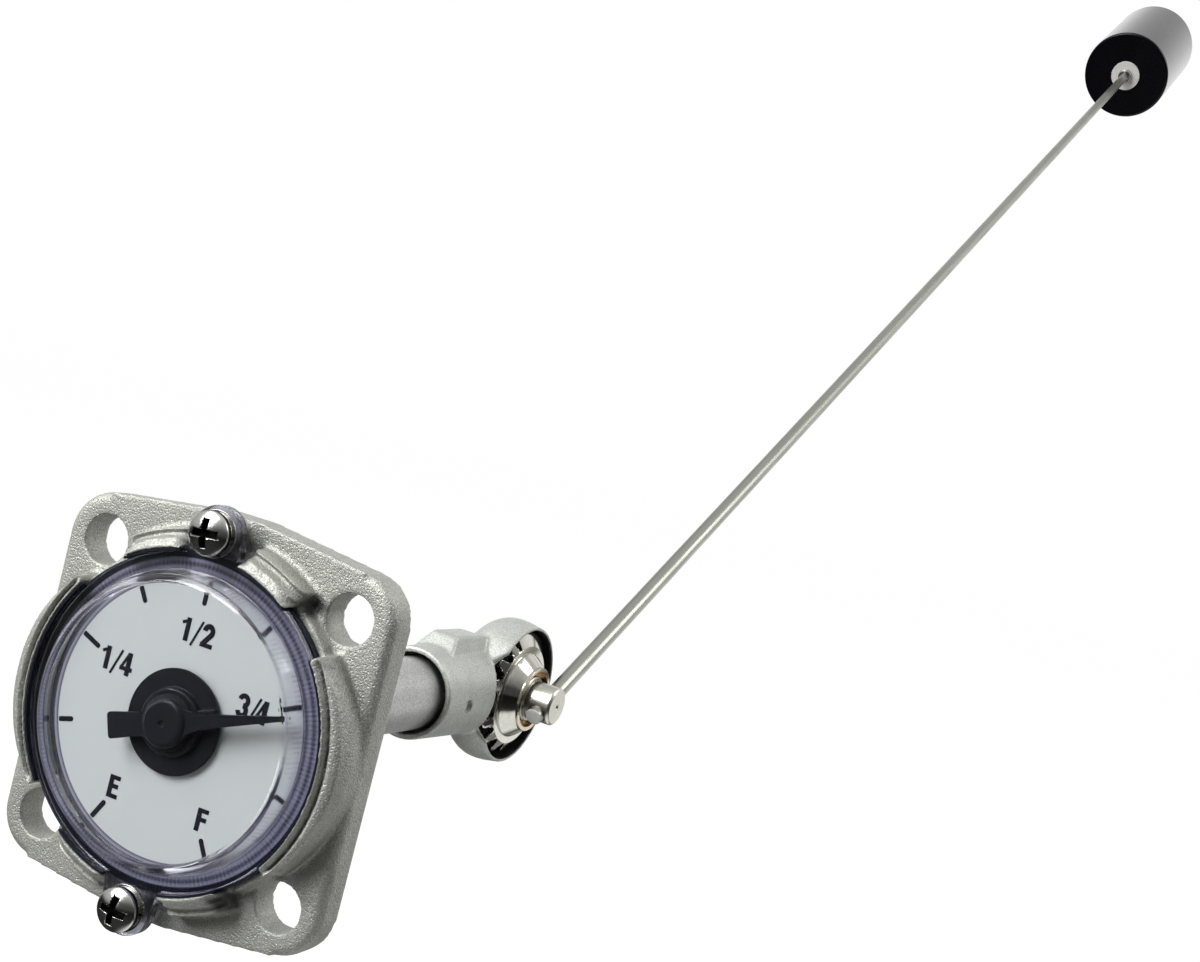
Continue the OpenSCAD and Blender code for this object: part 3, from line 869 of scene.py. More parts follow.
class Finishes:
    """Every finish on the gauge."""

    CASTING = HeadFinish(
        "sand_cast_aluminium", (0.485, 0.49, 0.45), 0.47, 0.55,
        grain=4600.0, depth=0.16, rubbed=0.3, corner_shade=0.7,
    )
    HOUSING = HousingFinish(
        "smooth_cast_aluminium", (0.6, 0.615, 0.575), 0.48, 0.6,
        grain=5200.0, depth=0.06, rubbed=0.3, corner_shade=0.6, hollow=8.0,
    )
    TUBE = CastFinish(
        "drawn_aluminium_tube", (0.53, 0.53, 0.525), 0.36, 0.8,
        grain=4200.0, depth=0.02, rubbed=0.0, corner_shade=1.0, hollow=6.0,
    )
    PIN = SteelFinish("dull_pin_steel", (0.86, 0.86, 0.84), 0.6, 0.3, streaks=3800.0, stretch=1.0)
    GEAR = SteelFinish(
        "polished_stamped_steel", (0.68, 0.67, 0.60), 0.13, 1.0, turn=(90.0, 0.0, 0.0),
        streaks=1800.0, depth=0.003, tint=(0.55, 0.36, 0.15), corner_shade=0.55, hollow=0.9,
    )
    PIVOT = SteelFinish(
        "turned_steel", (0.68, 0.67, 0.60), 0.3, 1.0, streaks=4200.0, stretch=1.0, corner_shade=0.9, hollow=2.4
    )
    ROD = RodFinish(
        "drawn_steel_rod", (0.42, 0.425, 0.38), 0.34, 1.0, turn=(-ARM_TILT, 0.0, 0.0),
        streaks=3600.0, stretch=0.01, depth=0.004,
    )
    SCREW = ScrewFinish(
        "bright_screw_steel", (0.66, 0.66, 0.64), 0.2, 1.0,
        streaks=5200.0, stretch=1.0, depth=0.003, corner_shade=1.0, hollow=2.6,
    )
    WASHER = SteelFinish(
        "plated_washer_steel", (0.56, 0.55, 0.53), 0.26, 1.0, streaks=3800.0, stretch=1.0, depth=0.004
    )
    DISC = SteelFinish(
        "dull_washer_steel", (0.8, 0.79, 0.75), 0.5, 0.35, streaks=3800.0, stretch=1.0, depth=0.003
    )
    BRASS = SteelFinish("turned_brass", (0.62, 0.43, 0.18), 0.3, 1.0, streaks=3800.0, stretch=1.0)
    MAGNET = MouldedFinish("sintered_magnet", (0.06, 0.06, 0.065), 0.45, 0.2, grain=4200.0)
    DIAL = DialFinish(
        "dial_enamel", (0.62, 0.645, 0.62), 0.6, 0.0, grain=9000.0, depth=0.0015, uneven=0.03, gloss=0.2
    )
    INK = MouldedFinish("dial_ink", (0.012, 0.013, 0.018), 0.6, 0.0, grain=9000.0, depth=0.0, gloss=0.08)
    POINTER = MouldedFinish(
        "pointer_black_plastic", (0.012, 0.012, 0.015), 0.3, 0.0, grain=6500.0, depth=0.002, gloss=0.2
    )
    GASKET = MouldedFinish(
        "gasket_black_rubber", (0.007, 0.008, 0.016), 0.45, 0.0, grain=5000.0, depth=0.006, gloss=0.25
    )
    FLOAT = FloatFinish(
        "float_black_rubber", (0.0015, 0.0014, 0.003), 0.24, 0.0, grain=2200.0, depth=0.006, gloss=0.25
    )
    COVER = ClearFinish("clear_cover_plastic", (0.97, 0.98, 1.0), 0.015)


@dataclass
class Softening:
    """How much a CAD piece's sharp edges are rounded; the angle from which they count is in degrees."""

    width: float
    segments: int = 2
    angle: float = 35.0


@dataclass
class Skin:
    """How a cast piece is rounded: a skin of small even faces, shaped and then smoothed."""

    grid: float
    shape: Callable[[Mesh], None]
    passes: int = 2


class Rounder:
    """Rounds a mesh's sharp edges, and leaves sharp the few that can't be rounded cleanly."""

    shares = (1.0, 0.55, 0.3)
    tries = 10
    off_surface = 0.8
    folded = -0.05
    straight_on = -0.85
    next_to = 1.6
    sliver = 2e-9
    slack = 1e-6
    same_place = 1e-7

    def __init__(self, mesh: Mesh, how: Softening) -> None:
        """Keeps the mesh's own surface to test the result against.

        Args:
            mesh: A closed mesh, used up here.
            how: Widths and limits.
        """
        self.mesh = mesh
        self.how = how
        self.truth = BVHTree.FromBMesh(mesh)
        self.mesh.edges.layers.int.new("done")
        self.rounded = 0
        self.left = 0

    def run(self) -> Mesh:
        """Rounds what it can at the full width, then the rest at smaller ones.

        Returns:
            The rounded mesh.
        """
        for share in self.shares:
            self._round(self.how.width * share * MM)
        bmesh.ops.remove_doubles(self.mesh, verts=self.mesh.verts, dist=self.same_place)
        bmesh.ops.dissolve_degenerate(self.mesh, edges=self.mesh.edges, dist=self.same_place)
        return self.mesh

    def _chosen(self, mesh: Mesh, kept: set[int]) -> list[Edge]:
        """Finds the edges to round.

        Args:
            mesh: The mesh.
            kept: Edges that stay sharp this time.

        Returns:
            The sharp edges that weren't made by an earlier rounding.
        """
        done = mesh.edges.layers.int["done"]
        limit = math.radians(self.how.angle)
        fresh = [e for e in mesh.edges if not e[done] and len(e.link_faces) == 2]
        found = [e for e in fresh if e.calc_face_angle(0.0) > limit]
        self.left = len(found)
        return [e for e in found if e.index not in kept]

    def _round(self, width: float) -> None:
        """Rounds at one width, and leaves out more edges until no fault is left.

        Args:
            width: The rounding's width, in metres.
        """
        kept: set[int] = set()
        for _ in range(self.tries):
            trial = self.mesh.copy()
            trial.edges.index_update()
            chosen = self._chosen(trial, kept)
            if not chosen:
                trial.free()
                return
            places = [(e.index, end.co.copy()) for e in chosen for end in e.verts]
            made = bmesh.ops.bevel(
                trial, geom=chosen, offset=width, offset_type="OFFSET", segments=self.how.segments,
                profile=0.5, affect="EDGES", clamp_overlap=False, material=-1,
            )
            faults = self._faults(trial, made["faces"], width)
            if not faults:
                done = trial.edges.layers.int["done"]
                for edge in {e for f in made["faces"] for e in f.edges}:
                    edge[done] = 1
                self.rounded += len(chosen)
                self.left -= len(chosen)
                self.mesh.free()
                self.mesh = trial
                return
            trial.free()
            kept |= self._chains(self.mesh, self._near(faults, places, width))

    def _faults(self, mesh: Mesh, made: list[Face], width: float) -> list[Vector]:
        """Finds where a rounding has folded a face over or left the surface.

        Args:
            mesh: The rounded mesh.
            made: Its new faces.
            width: The rounding's width.

        Returns:
            Points at the faults.
        """
        near = {v for f in made for v in f.verts}
        faults = []
        for vert in near:
            away = self.truth.find_nearest(vert.co)[3]
            if away is None or away > self.off_surface * width + self.slack:
                faults.append(vert.co.copy())
        touched = {f for v in near for f in v.link_faces}
        for corners in mesh.calc_loop_triangles():
            if corners[0].face not in touched:
                continue
            a, b, c = (loop.vert.co for loop in corners)
            across = (b - a).cross(c - a)
            if across.length < self.sliver:
                continue
            nearest = self.truth.find_nearest((a + b + c) / 3)
            if across.normalized().dot(nearest[1]) < self.folded:
                faults += [loop.vert.co.copy() for loop in corners if loop.vert in near]
        return faults

    def _chains(self, mesh: Mesh, seeds: set[int]) -> set[int]:
        """Grows single edges to the whole smooth runs of sharp edges that they belong to.

        Args:
            mesh: The mesh.
            seeds: Numbers of edges.

        Returns:
            The numbers of all edges in those runs.
        """
        mesh.edges.ensure_lookup_table()
        mesh.edges.index_update()
        able = {e.index for e in self._chosen(mesh, set())}
        found, ahead = set(), list(seeds & able)
        while ahead:
            here = ahead.pop()
            if here in found:
                continue
            found.add(here)
            edge = mesh.edges[here]
            for end in edge.verts:
                others = [e for e in end.link_edges if e.index in able and e.index != here]
                if len(others) != 1:
                    continue
                way = (edge.other_vert(end).co - end.co).normalized()
                on = (others[0].other_vert(end).co - end.co).normalized()
                if way.dot(on) < self.straight_on:
                    ahead.append(others[0].index)
        return found

    def _near(self, faults: list[Vector], places: list[tuple[int, Vector]], width: float) -> set[int]:
        """Finds the edges next to the faults.

        Args:
            faults: Points at the faults.
            places: Edge numbers with the places of their ends.
            width: The rounding's width.

        Returns:
            The numbers of the edges to leave out.
        """
        tree = KDTree(len(places))
        for i, (_, place) in enumerate(places):
            tree.insert(place, i)
        tree.balance()
        found = set()
        for point in faults:
            close = tree.find_range(point, self.next_to * width) or [tree.find(point)]
            found |= {places[i][0] for _, i, _ in close}
        return found


class Workshop:
    """Makes meshes and turns them into pieces in the scene."""

    merge = 0.002
    shortest = 0.001
    flat_angle = 0.4
    sharp_angle = 38.0

    @classmethod
    def copy_of(cls, node: str) -> Mesh:
        """Copies a CAD node's mesh and merges it, with flat faces made whole.

        Args:
            node: The CAD node's name.

        Returns:
            A closed mesh.
        """
        mesh = bmesh.new()
        mesh.from_mesh(frame["nodes"][node].data)
        bmesh.ops.remove_doubles(mesh, verts=mesh.verts, dist=cls.merge * MM)
        bmesh.ops.dissolve_degenerate(mesh, edges=mesh.edges, dist=cls.shortest * MM)
        bmesh.ops.dissolve_limit(
            mesh, angle_limit=math.radians(cls.flat_angle), verts=mesh.verts, edges=mesh.edges,
            use_dissolve_boundaries=False,
        )
        return mesh

    @staticmethod
    def smooth(mesh: Mesh, verts: Iterable[Vert], times: int) -> None:
        """Moves each vertex halfway to the middle of its neighbours.

        Args:
            mesh: The mesh.
            verts: The vertices that move.
            times: How often.
        """
        for _ in range(times):
            bmesh.ops.smooth_vert(
                mesh, verts=verts, factor=0.5, use_axis_x=True, use_axis_y=True, use_axis_z=True
            )

    @classmethod
    def finish(
        cls, mesh: Mesh, name: str, body: Body, finish: Finish, slot: str, stands_for: Iterable[str] = ()
    ) -> bpy.types.Object:
        """Turns a mesh into a piece in the scene, on its body.

        Args:
            mesh: The mesh, used up here.
            name: The piece's name.
            body: The body that it rides on.
            finish: Its finish.
            slot: The record's material slot; not used.
            stands_for: CAD nodes that it replaces.

        Returns:
            The piece.
        """
        data = bpy.data.meshes.new(name)
        mesh.to_mesh(data)
        mesh.free()
        data.polygons.foreach_set("use_smooth", [True] * len(data.polygons))
        data.set_sharp_from_angle(angle=math.radians(cls.sharp_angle))
        piece = bpy.data.objects.new(name, data)
        bpy.context.scene.collection.objects.link(piece)
        data.materials.append(finish.material())
        level = piece.modifiers.new("even_normals", "WEIGHTED_NORMAL")
        level.keep_sharp = True
        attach(piece, body.value)
        names = list(stands_for)
        if names:
            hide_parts(*names)
        LOG.info("%s: %d faces on %s, replaces %s", name, len(data.polygons), body.value, names or "nothing")
        return piece

    @classmethod
    def refine(cls, node: str, body: Body, finish: Finish, how: Softening) -> bpy.types.Object:
        """Makes the visible, soft-edged copy of a CAD node.

        Args:
            node: The CAD node's name.
            body: The body that it rides on.
            finish: Its finish.
            how: How its edges are rounded.

        Returns:
            The piece.
        """
        rounder = Rounder(cls.copy_of(node), how)
        mesh = rounder.run()
        LOG.info("%s: %d edges rounded, %d left sharp", node, rounder.rounded, rounder.left)
        return cls.finish(mesh, f"{node}_finished", body, finish, SLOTS[node], [node])

    @classmethod
    def cast(cls, node: str, body: Body, finish: Finish, skin: Skin) -> bpy.types.Object:
        """Makes the visible copy of a cast CAD node, with every edge and inner corner rounded.

        Args:
            node: The CAD node's name.
            body: The body that it rides on.
            finish: Its finish.
            skin: The size of its faces, and how it is shaped and smoothed.

        Returns:
            The piece.
        """
        data = bpy.data.meshes.new("pattern")
        mesh = cls.copy_of(node)
        mesh.to_mesh(data)
        mesh.free()
        pattern = bpy.data.objects.new("pattern", data)
        bpy.context.scene.collection.objects.link(pattern)
        remesh = pattern.modifiers.new("skin", "REMESH")
        remesh.mode = "VOXEL"
        remesh.voxel_size = skin.grid * MM
        mesh = bmesh.new()
        mesh.from_object(pattern, bpy.context.evaluated_depsgraph_get())
        bpy.data.objects.remove(pattern)
        bpy.data.meshes.remove(data)
        skin.shape(mesh)
        cls.smooth(mesh, mesh.verts, skin.passes)
        return cls.finish(mesh, f"{node}_finished", body, finish, SLOTS[node], [node])

    @staticmethod
    def dress(node: str, finish: Finish) -> None:
        """Gives a CAD node that stays as it is its finish.

        Args:
            node: The CAD node's name.
            finish: Its finish.
        """
        piece = frame["nodes"][node]
        piece.data.materials.clear()
        piece.data.materials.append(finish.material())
        LOG.info("%s: kept, %s", node, finish.name)


@dataclass(frozen=True)
class Bell:
    """A bell-shaped rise across the ring wall, or a hollow where its height is negative."""

    reach: float
    width: float
    height: float

    def at(self, reach: float) -> float:
        """Returns what it adds at a distance from the wall's inner side."""
        return self.height * math.exp(-((reach - self.reach) / self.width) ** 2)


@dataclass
class LongArc:
    """The ring wall's arcs left and right of the cover: a round crown with a groove along the cover.

    The end and the fade are in degrees from the dial's side, and the other sizes are measured
    from the wall's inner side or from the flange's back. The arc's foot is narrower at its ends.
    """

    end: float = 38.5
    fade: float = 4.0
    foot: float = 3.25
    narrowing: float = 0.9
    narrow_turn: float = 30.0
    inner: float = 0.55
    outer: float = 0.2
    lowest: float = 8.0
    top: float = 9.6
    drop: float = 0.6
    bend: float = 2.5
    crown: float = 1.1
    slope: float = 1.65
    groove: Bell = Bell(0.88, 0.24, -1.25)

    def raised(self, reach: float, turn: float, high: float) -> float:
        """Finds the height of one point of the arc's skin.

        Args:
            reach: Distance from the wall's inner side.
            turn: Degrees from the dial's side.
            high: The height that the point has.

        Returns:
            The height that it gets.
        """
        foot = self.foot - self.narrowing * (turn / self.narrow_turn) ** 3
        if not (self.inner < reach < foot - self.outer and high > self.lowest):
            return high
        out = max(0.0, reach - self.crown) / max(0.4, foot - self.slope)
        height = self.top - self.drop * out ** self.bend + self.groove.at(reach)
        return high + (height - high) * min(1.0, (self.end - turn) / self.fade)


@dataclass
class ShortArc:
    """The ring wall's arcs beside the cover's screws: two crests with a channel between, and round ends.

    Turns are in degrees from the dial's side, and the other sizes are measured from the wall's
    inner side or from the flange's back.
    """

    turns: Span = (54.0, 79.3)
    reaches: Span = (0.4, 3.6)
    top_reach: float = 0.9
    lowest: float = 7.1
    facing: float = -0.25
    channel: float = 7.6
    crests: tuple[Bell, Bell] = (Bell(1.15, 0.55, 1.5), Bell(2.7, 0.32, 0.7))
    fall: float = 1.2
    limits: Span = (-0.9, 0.75)
    foot_y: float = 4.9
    ends: Span = (56.0, 79.0)
    end_lengths: Span = (6.5, 4.0)
    end_height: float = 0.4
    rubs: int = 3

    def raised(self, reach: float, high: float) -> float:
        """Finds the height of one point of the arc's top.

        Args:
            reach: Distance from the wall's inner side.
            high: The height that the point has.

        Returns:
            The height that it gets.
        """
        inner, outer = self.crests
        fall = max(0.0, reach - outer.reach) * self.fall
        height = self.channel + inner.at(reach) + outer.at(reach) - fall
        return max(min(height, high + self.limits[1]), high + self.limits[0])

    def left(self, turn: float) -> float:
        """Finds how much of the arc's height is left near its ends, so that they are round.

        Args:
            turn: Degrees from the dial's side.

        Returns:
            One along the middle, less at both ends.
        """
        low, high = (turn - self.ends[0]) / self.end_lengths[0], (self.ends[1] - turn) / self.end_lengths[1]
        shares = [min(1.0, max(0.0, gap)) for gap in (low, high)]
        whole = math.prod(math.sqrt(1.0 - (1.0 - share) ** 2) for share in shares)
        return self.end_height + (1.0 - self.end_height) * whole


@dataclass
class Head:
    """Flanged casting, clear cover and what holds it."""

    wall_r: float = 23.6
    long_arc: LongArc = field(default_factory=LongArc)
    short_arc: ShortArc = field(default_factory=ShortArc)

    def build(self) -> None:
        """Makes the head's pieces."""
        Workshop.cast("head_casting", Body.HEAD, Finishes.CASTING, Skin(grid=0.34, shape=self._wall))
        Workshop.refine("lens", Body.HEAD, Finishes.COVER, Softening(width=0.15, segments=3, angle=25.0))
        Workshop.refine("dial_gasket", Body.HEAD, Finishes.GASKET, Softening(width=0.06))
        Workshop.refine("lens_screws", Body.HEAD, Finishes.SCREW, Softening(width=0.14, segments=3))
        Workshop.refine("lens_washers", Body.HEAD, Finishes.WASHER, Softening(width=0.08))
        Workshop.refine("lock_washers", Body.HEAD, Finishes.WASHER, Softening(width=0.1))

    def _wall(self, mesh: Mesh) -> None:
        """Shapes the ring wall's long and short arcs, and rubs the short ones smooth.

        Args:
            mesh: The casting's skin.
        """
        arc = self.short_arc
        start, end = (math.radians(turn) for turn in arc.turns)
        shaped = []
        for vert in mesh.verts:
            x, y, z = (part / MM for part in vert.co)
            reach = math.hypot(x, z) - self.wall_r
            turn = math.atan2(abs(z), abs(x))
            high = -y
            if turn < math.radians(self.long_arc.end):
                vert.co.y = -MM * self.long_arc.raised(reach, math.degrees(turn), high)
                continue
            if not (arc.reaches[0] < reach < arc.reaches[1] and start < turn < end):
                continue
            if reach > arc.top_reach and high > arc.lowest and vert.normal.y < arc.facing:
                high = arc.raised(reach, high)
            if high > arc.foot_y:
                high = arc.foot_y + (high - arc.foot_y) * arc.left(math.degrees(turn))
                shaped.append(vert)
            vert.co.y = -MM * high
        Workshop.smooth(mesh, shaped, arc.rubs)


@dataclass
class Stroke:
    """One stroke of print: the middle of its path, in the dial's plane, and its width."""

    path: list[tuple[float, float]]
    width: float


@dataclass
class Glyph:
    """One bold condensed number or letter, drawn in strokes inside its box."""

    sign: str
    x0: float
    x1: float
    z0: float
    z1: float
    weight: float = 0.74
    bar: float = 0.6
    steps: int = 18

    def strokes(self) -> list[Stroke]:
        """Returns the strokes that make the sign."""
        return {
            "1": self._one, "2": self._two, "3": self._three, "4": self._four,
            "E": self._letter_e, "F": self._letter_f, "/": self._slash,
        }[self.sign]()

    def _flat(self, x0: float, x1: float, z: float) -> Stroke:
        """Returns a level bar with its middle at height z."""
        return Stroke([(x0, z), (x1, z)], self.bar)

    def _stem(self, x: float) -> Stroke:
        """Returns an upright over the box's whole height with its middle at x."""
        return Stroke([(x, self.z0), (x, self.z1)], self.weight)

    def _one(self) -> list[Stroke]:
        """Returns a stem with a flag."""
        x = self.x1 - self.weight / 2
        return [self._stem(x), Stroke([(self.x0, self.z1 - 0.86), (x - 0.02, self.z1 - 0.42)], 0.46)]

    def _bowl(self, top: float, height: float, start: float, end: float) -> list[tuple[float, float]]:
        """Returns a path round part of an oval that fills the box's width.

        Args:
            top: Height of the oval's top, outside the ink.
            height: The oval's height, outside the ink.
            start: First angle, in degrees from the right, anticlockwise.
            end: Last angle.

        Returns:
            The path.
        """
        middle = ((self.x0 + self.x1) / 2, top - height / 2)
        reach = ((self.x1 - self.x0 - self.weight) / 2, (height - self.bar) / 2)
        turns = [math.radians(start + (end - start) * i / self.steps) for i in range(self.steps + 1)]
        return [(middle[0] + reach[0] * math.cos(t), middle[1] + reach[1] * math.sin(t)) for t in turns]

    def _two(self) -> list[Stroke]:
        """Returns a hook that runs down to a foot."""
        hook = self._bowl(self.z1, 1.95, 185.0, -32.0)
        foot = (self.x0 + self.weight * 0.55, self.z0 + self.bar * 0.7)
        return [Stroke(hook + [foot], self.weight), self._flat(self.x0, self.x1, self.z0 + self.bar / 2)]

    def _three(self) -> list[Stroke]:
        """Returns two bowls, one on the other."""
        half = (self.z1 - self.z0 + self.bar) / 2
        upper = self._bowl(self.z1, half, 172.0, -90.0)
        lower = self._bowl(self.z0 + half, half, 90.0, -172.0)
        return [Stroke(upper, self.weight * 0.94), Stroke(lower, self.weight * 0.94)]

    def _four(self) -> list[Stroke]:
        """Returns a stem, a crossbar and a slope."""
        x = self.x1 - 0.36 - self.weight / 2
        low = self.z0 + 0.92
        slope = Stroke([(self.x0 + 0.2, low), (x - 0.1, self.z1 - 0.1)], 0.4)
        return [self._stem(x), self._flat(self.x0, self.x1, low), slope]

    def _letter_e(self) -> list[Stroke]:
        """Returns an E."""
        return [*self._letter_f(), self._flat(self.x0, self.x1, self.z0 + self.bar / 2)]

    def _letter_f(self) -> list[Stroke]:
        """Returns an F."""
        middle = (self.z0 + self.z1) / 2 + 0.08
        return [
            self._stem(self.x0 + self.weight / 2),
            self._flat(self.x0, self.x1, self.z1 - self.bar / 2),
            self._flat(self.x0, self.x1 - 0.14, middle),
        ]

    def _slash(self) -> list[Stroke]:
        """Returns a slanted line."""
        return [Stroke([(self.x0 + 0.16, self.z0), (self.x1 - 0.16, self.z1)], 0.34)]


@dataclass
class Tick:
    """One mark of the scale; its angle is in degrees from the dial's top, to the right."""

    angle: float
    length: float


@dataclass
class Dial:
    """Dial plate with its printed scale; tick_turns are the steps of a mark's round end, in radians."""

    face_y: float = -7.4
    outer_r: float = 19.25
    ink: float = 0.03
    rise: float = 0.006
    tick_w: float = 0.72
    tick_edge: float = 0.12
    tick_turns: tuple[float, ...] = (0.25, 0.6, 1.0, 1.3, math.pi / 2)
    ticks: list[Tick] = field(default_factory=lambda: [
        Tick(-150.06, 3.2), Tick(-106.0, 2.4), Tick(-67.2, 3.3), Tick(-32.9, 2.4), Tick(-0.3, 2.9),
        Tick(32.9, 1.9), Tick(67.2, 3.1), Tick(106.0, 1.9), Tick(150.06, 3.1),
    ])
    labels: dict[str, list[Glyph]] = field(default_factory=lambda: {
        "empty": [Glyph("E", -8.1, -6.35, -13.2, -10.0)],
        "quarter": [
            Glyph("1", -14.1, -12.75, 3.6, 6.85), Glyph("/", -12.35, -10.7, 3.25, 6.9),
            Glyph("4", -10.85, -8.8, 3.6, 6.85),
        ],
        "half": [
            Glyph("1", -2.7, -1.35, 10.95, 14.2), Glyph("/", -0.9, 0.7, 10.6, 14.25),
            Glyph("2", 0.7, 2.65, 10.95, 14.2),
        ],
        "three_quarters": [
            Glyph("3", 8.5, 10.5, 3.55, 6.85), Glyph("/", 10.55, 12.2, 3.2, 6.9),
            Glyph("4", 11.7, 13.7, 3.55, 6.8),
        ],
        "full": [Glyph("F", 6.65, 8.4, -13.2, -10.0)],
    })

    def build(self) -> None:
        """Dresses the plate and prints the scale on it."""
        Workshop.dress("dial_plate", Finishes.DIAL)
        self._ticks()
        for name, glyphs in self.labels.items():
            self._label(name, [s for g in glyphs for s in g.strokes()])

    def _ticks(self) -> None:
        """Makes all marks as one thin piece of ink with round inner ends."""
        whole = bmesh.new()
        for tick in self.ticks:
            lean = math.radians(tick.angle)
            inner, cap = self.outer_r - tick.length, self.tick_w / 2
            steps = [(inner + cap * (1 - math.cos(a)), cap * math.sin(a)) for a in self.tick_turns]
            steps += [(self.outer_r - self.tick_edge, cap), (self.outer_r, cap * 0.7)]
            sides = [[self._turned(reach, off, lean) for off in (-half, half)] for reach, half in steps]
            self._strip(whole, sides)
        self._thicken(whole, [self.ink] * len(self.ticks))
        Workshop.finish(whole, "scale_marks", Body.HEAD, Finishes.INK, "pointer_black")

    @staticmethod
    def _turned(reach: float, off: float, lean: float) -> tuple[float, float]:
        """Returns the point at a distance from the centre and off a mark's middle line, in X and Z."""
        return reach * math.sin(lean) + off * math.cos(lean), reach * math.cos(lean) - off * math.sin(lean)

    def _strip(self, mesh: Mesh, sides: list[list[tuple[float, float]]]) -> None:
        """Lays one flat strip of ink on the dial.

        Args:
            mesh: The mesh that it becomes part of.
            sides: The points at both edges of the strip, one pair per place along it.
        """
        made = bmesh.ops.create_grid(mesh, x_segments=len(sides) - 1, y_segments=1, size=1.0)["verts"]
        for pair, points in zip(self._columns(made), sides):
            for vert, (x, z) in zip(pair, points):
                vert.co = Vector((x, self.face_y, z)) * MM

    @staticmethod
    def _columns(verts: Iterable[Vert]) -> list[list[Vert]]:
        """Sorts a fresh grid's corners into pairs along its length.

        Args:
            verts: The grid's corners, two rows of them.

        Returns:
            One pair per place along the grid.
        """
        ordered = sorted(verts, key=lambda v: (round(v.co.x, 5), v.co.y))
        return [ordered[i:i + 2] for i in range(0, len(ordered), 2)]

    def _thicken(self, mesh: Mesh, heights: list[float]) -> None:
        """Gives flat ink its thickness, towards the reader.

        Args:
            mesh: Flat faces on the dial, one loose patch per stroke or mark.
            heights: Each patch's thickness, in the order that they were made.
        """
        mesh.verts.index_update()
        patches = self._patches(mesh)
        for patch, height in zip(patches, heights):
            made = bmesh.ops.extrude_face_region(mesh, geom=patch)["geom"]
            raised = [g for g in made if isinstance(g, Vert)]
            bmesh.ops.translate(mesh, vec=(0.0, -height * MM, 0.0), verts=raised)
        bmesh.ops.recalc_face_normals(mesh, faces=mesh.faces)

    @staticmethod
    def _patches(mesh: Mesh) -> list[list[Face]]:
        """Splits flat ink into its loose patches.

        Args:
            mesh: Flat faces.

        Returns:
            The faces of each patch, in the order that they were made.
        """
        patches: list[list[Face]] = []
        seen: set[Face] = set()
        for start in list(mesh.faces):
            if start in seen:
                continue
            patch, ahead = [], [start]
            seen.add(start)
            while ahead:
                face = ahead.pop()
                patch.append(face)
                for near in {f for v in face.verts for f in v.link_faces} - seen:
                    seen.add(near)
                    ahead.append(near)
            patches.append(patch)
        return patches

    def _label(self, name: str, strokes: list[Stroke]) -> None:
        """Prints one label, each stroke a little thicker than the one before so that no faces coincide.

        Args:
            name: What the label is for.
            strokes: Its strokes.
        """
        mesh = bmesh.new()
        for stroke in strokes:
            self._strip(mesh, self._sides(stroke))
        self._thicken(mesh, [self.ink + self.rise * i for i in range(len(strokes))])
        Workshop.finish(mesh, f"scale_{name}", Body.HEAD, Finishes.INK, "pointer_black")

    @staticmethod
    def _sides(stroke: Stroke) -> list[list[tuple[float, float]]]:
        """Finds both edges of a stroke at each point of its path.

        Args:
            stroke: The stroke.

        Returns:
            Two points per point of the path.
        """
        path = [Vector(p) for p in stroke.path]
        found = []
        for i, here in enumerate(path):
            before = (here - path[i - 1]).normalized() if i else None
            after = (path[i + 1] - here).normalized() if i + 1 < len(path) else None
            way = ((before or after) + (after or before)).normalized()
            across = Vector((-way.y, way.x)) * stroke.width / 2
            stretch = 1.0 if before is None or after is None else 1.0 / max(0.6, way.dot(before))
            found.append([tuple(here + across * stretch), tuple(here - across * stretch)])
        return found


@dataclass
class Pointer:
    """Needle, disc, pin and magnet."""

    edge: float = 0.14

    def build(self) -> None:
        """Makes the pointer's pieces."""
        Workshop.refine("pointer", Body.POINTER, Finishes.POINTER, Softening(width=self.edge, segments=3))
        Workshop.refine("pointer_disc", Body.POINTER, Finishes.POINTER, Softening(width=0.1))
        Workshop.dress("pointer_magnet", Finishes.MAGNET)
        Workshop.dress("pivot_pin", Finishes.WASHER)


@dataclass
class Drive:
    """Tube, shaft, bushings and pinion."""

    tooth_edge: float = 0.08

    def build(self) -> None:
        """Makes the drive's pieces."""
        Workshop.refine("support_tube", Body.HEAD, Finishes.TUBE, Softening(width=0.12))
        Workshop.refine("pinion", Body.DRIVE, Finishes.GEAR, Softening(width=self.tooth_edge))
        for node in ("front_bushing", "rear_bushing", "pivot_bush", "magnet_hub"):
            Workshop.dress(node, Finishes.BRASS)
        for node in ("drive_shaft", "thrust_collar"):
            Workshop.dress(node, Finishes.PIVOT)
        Workshop.dress("drive_magnet", Finishes.MAGNET)


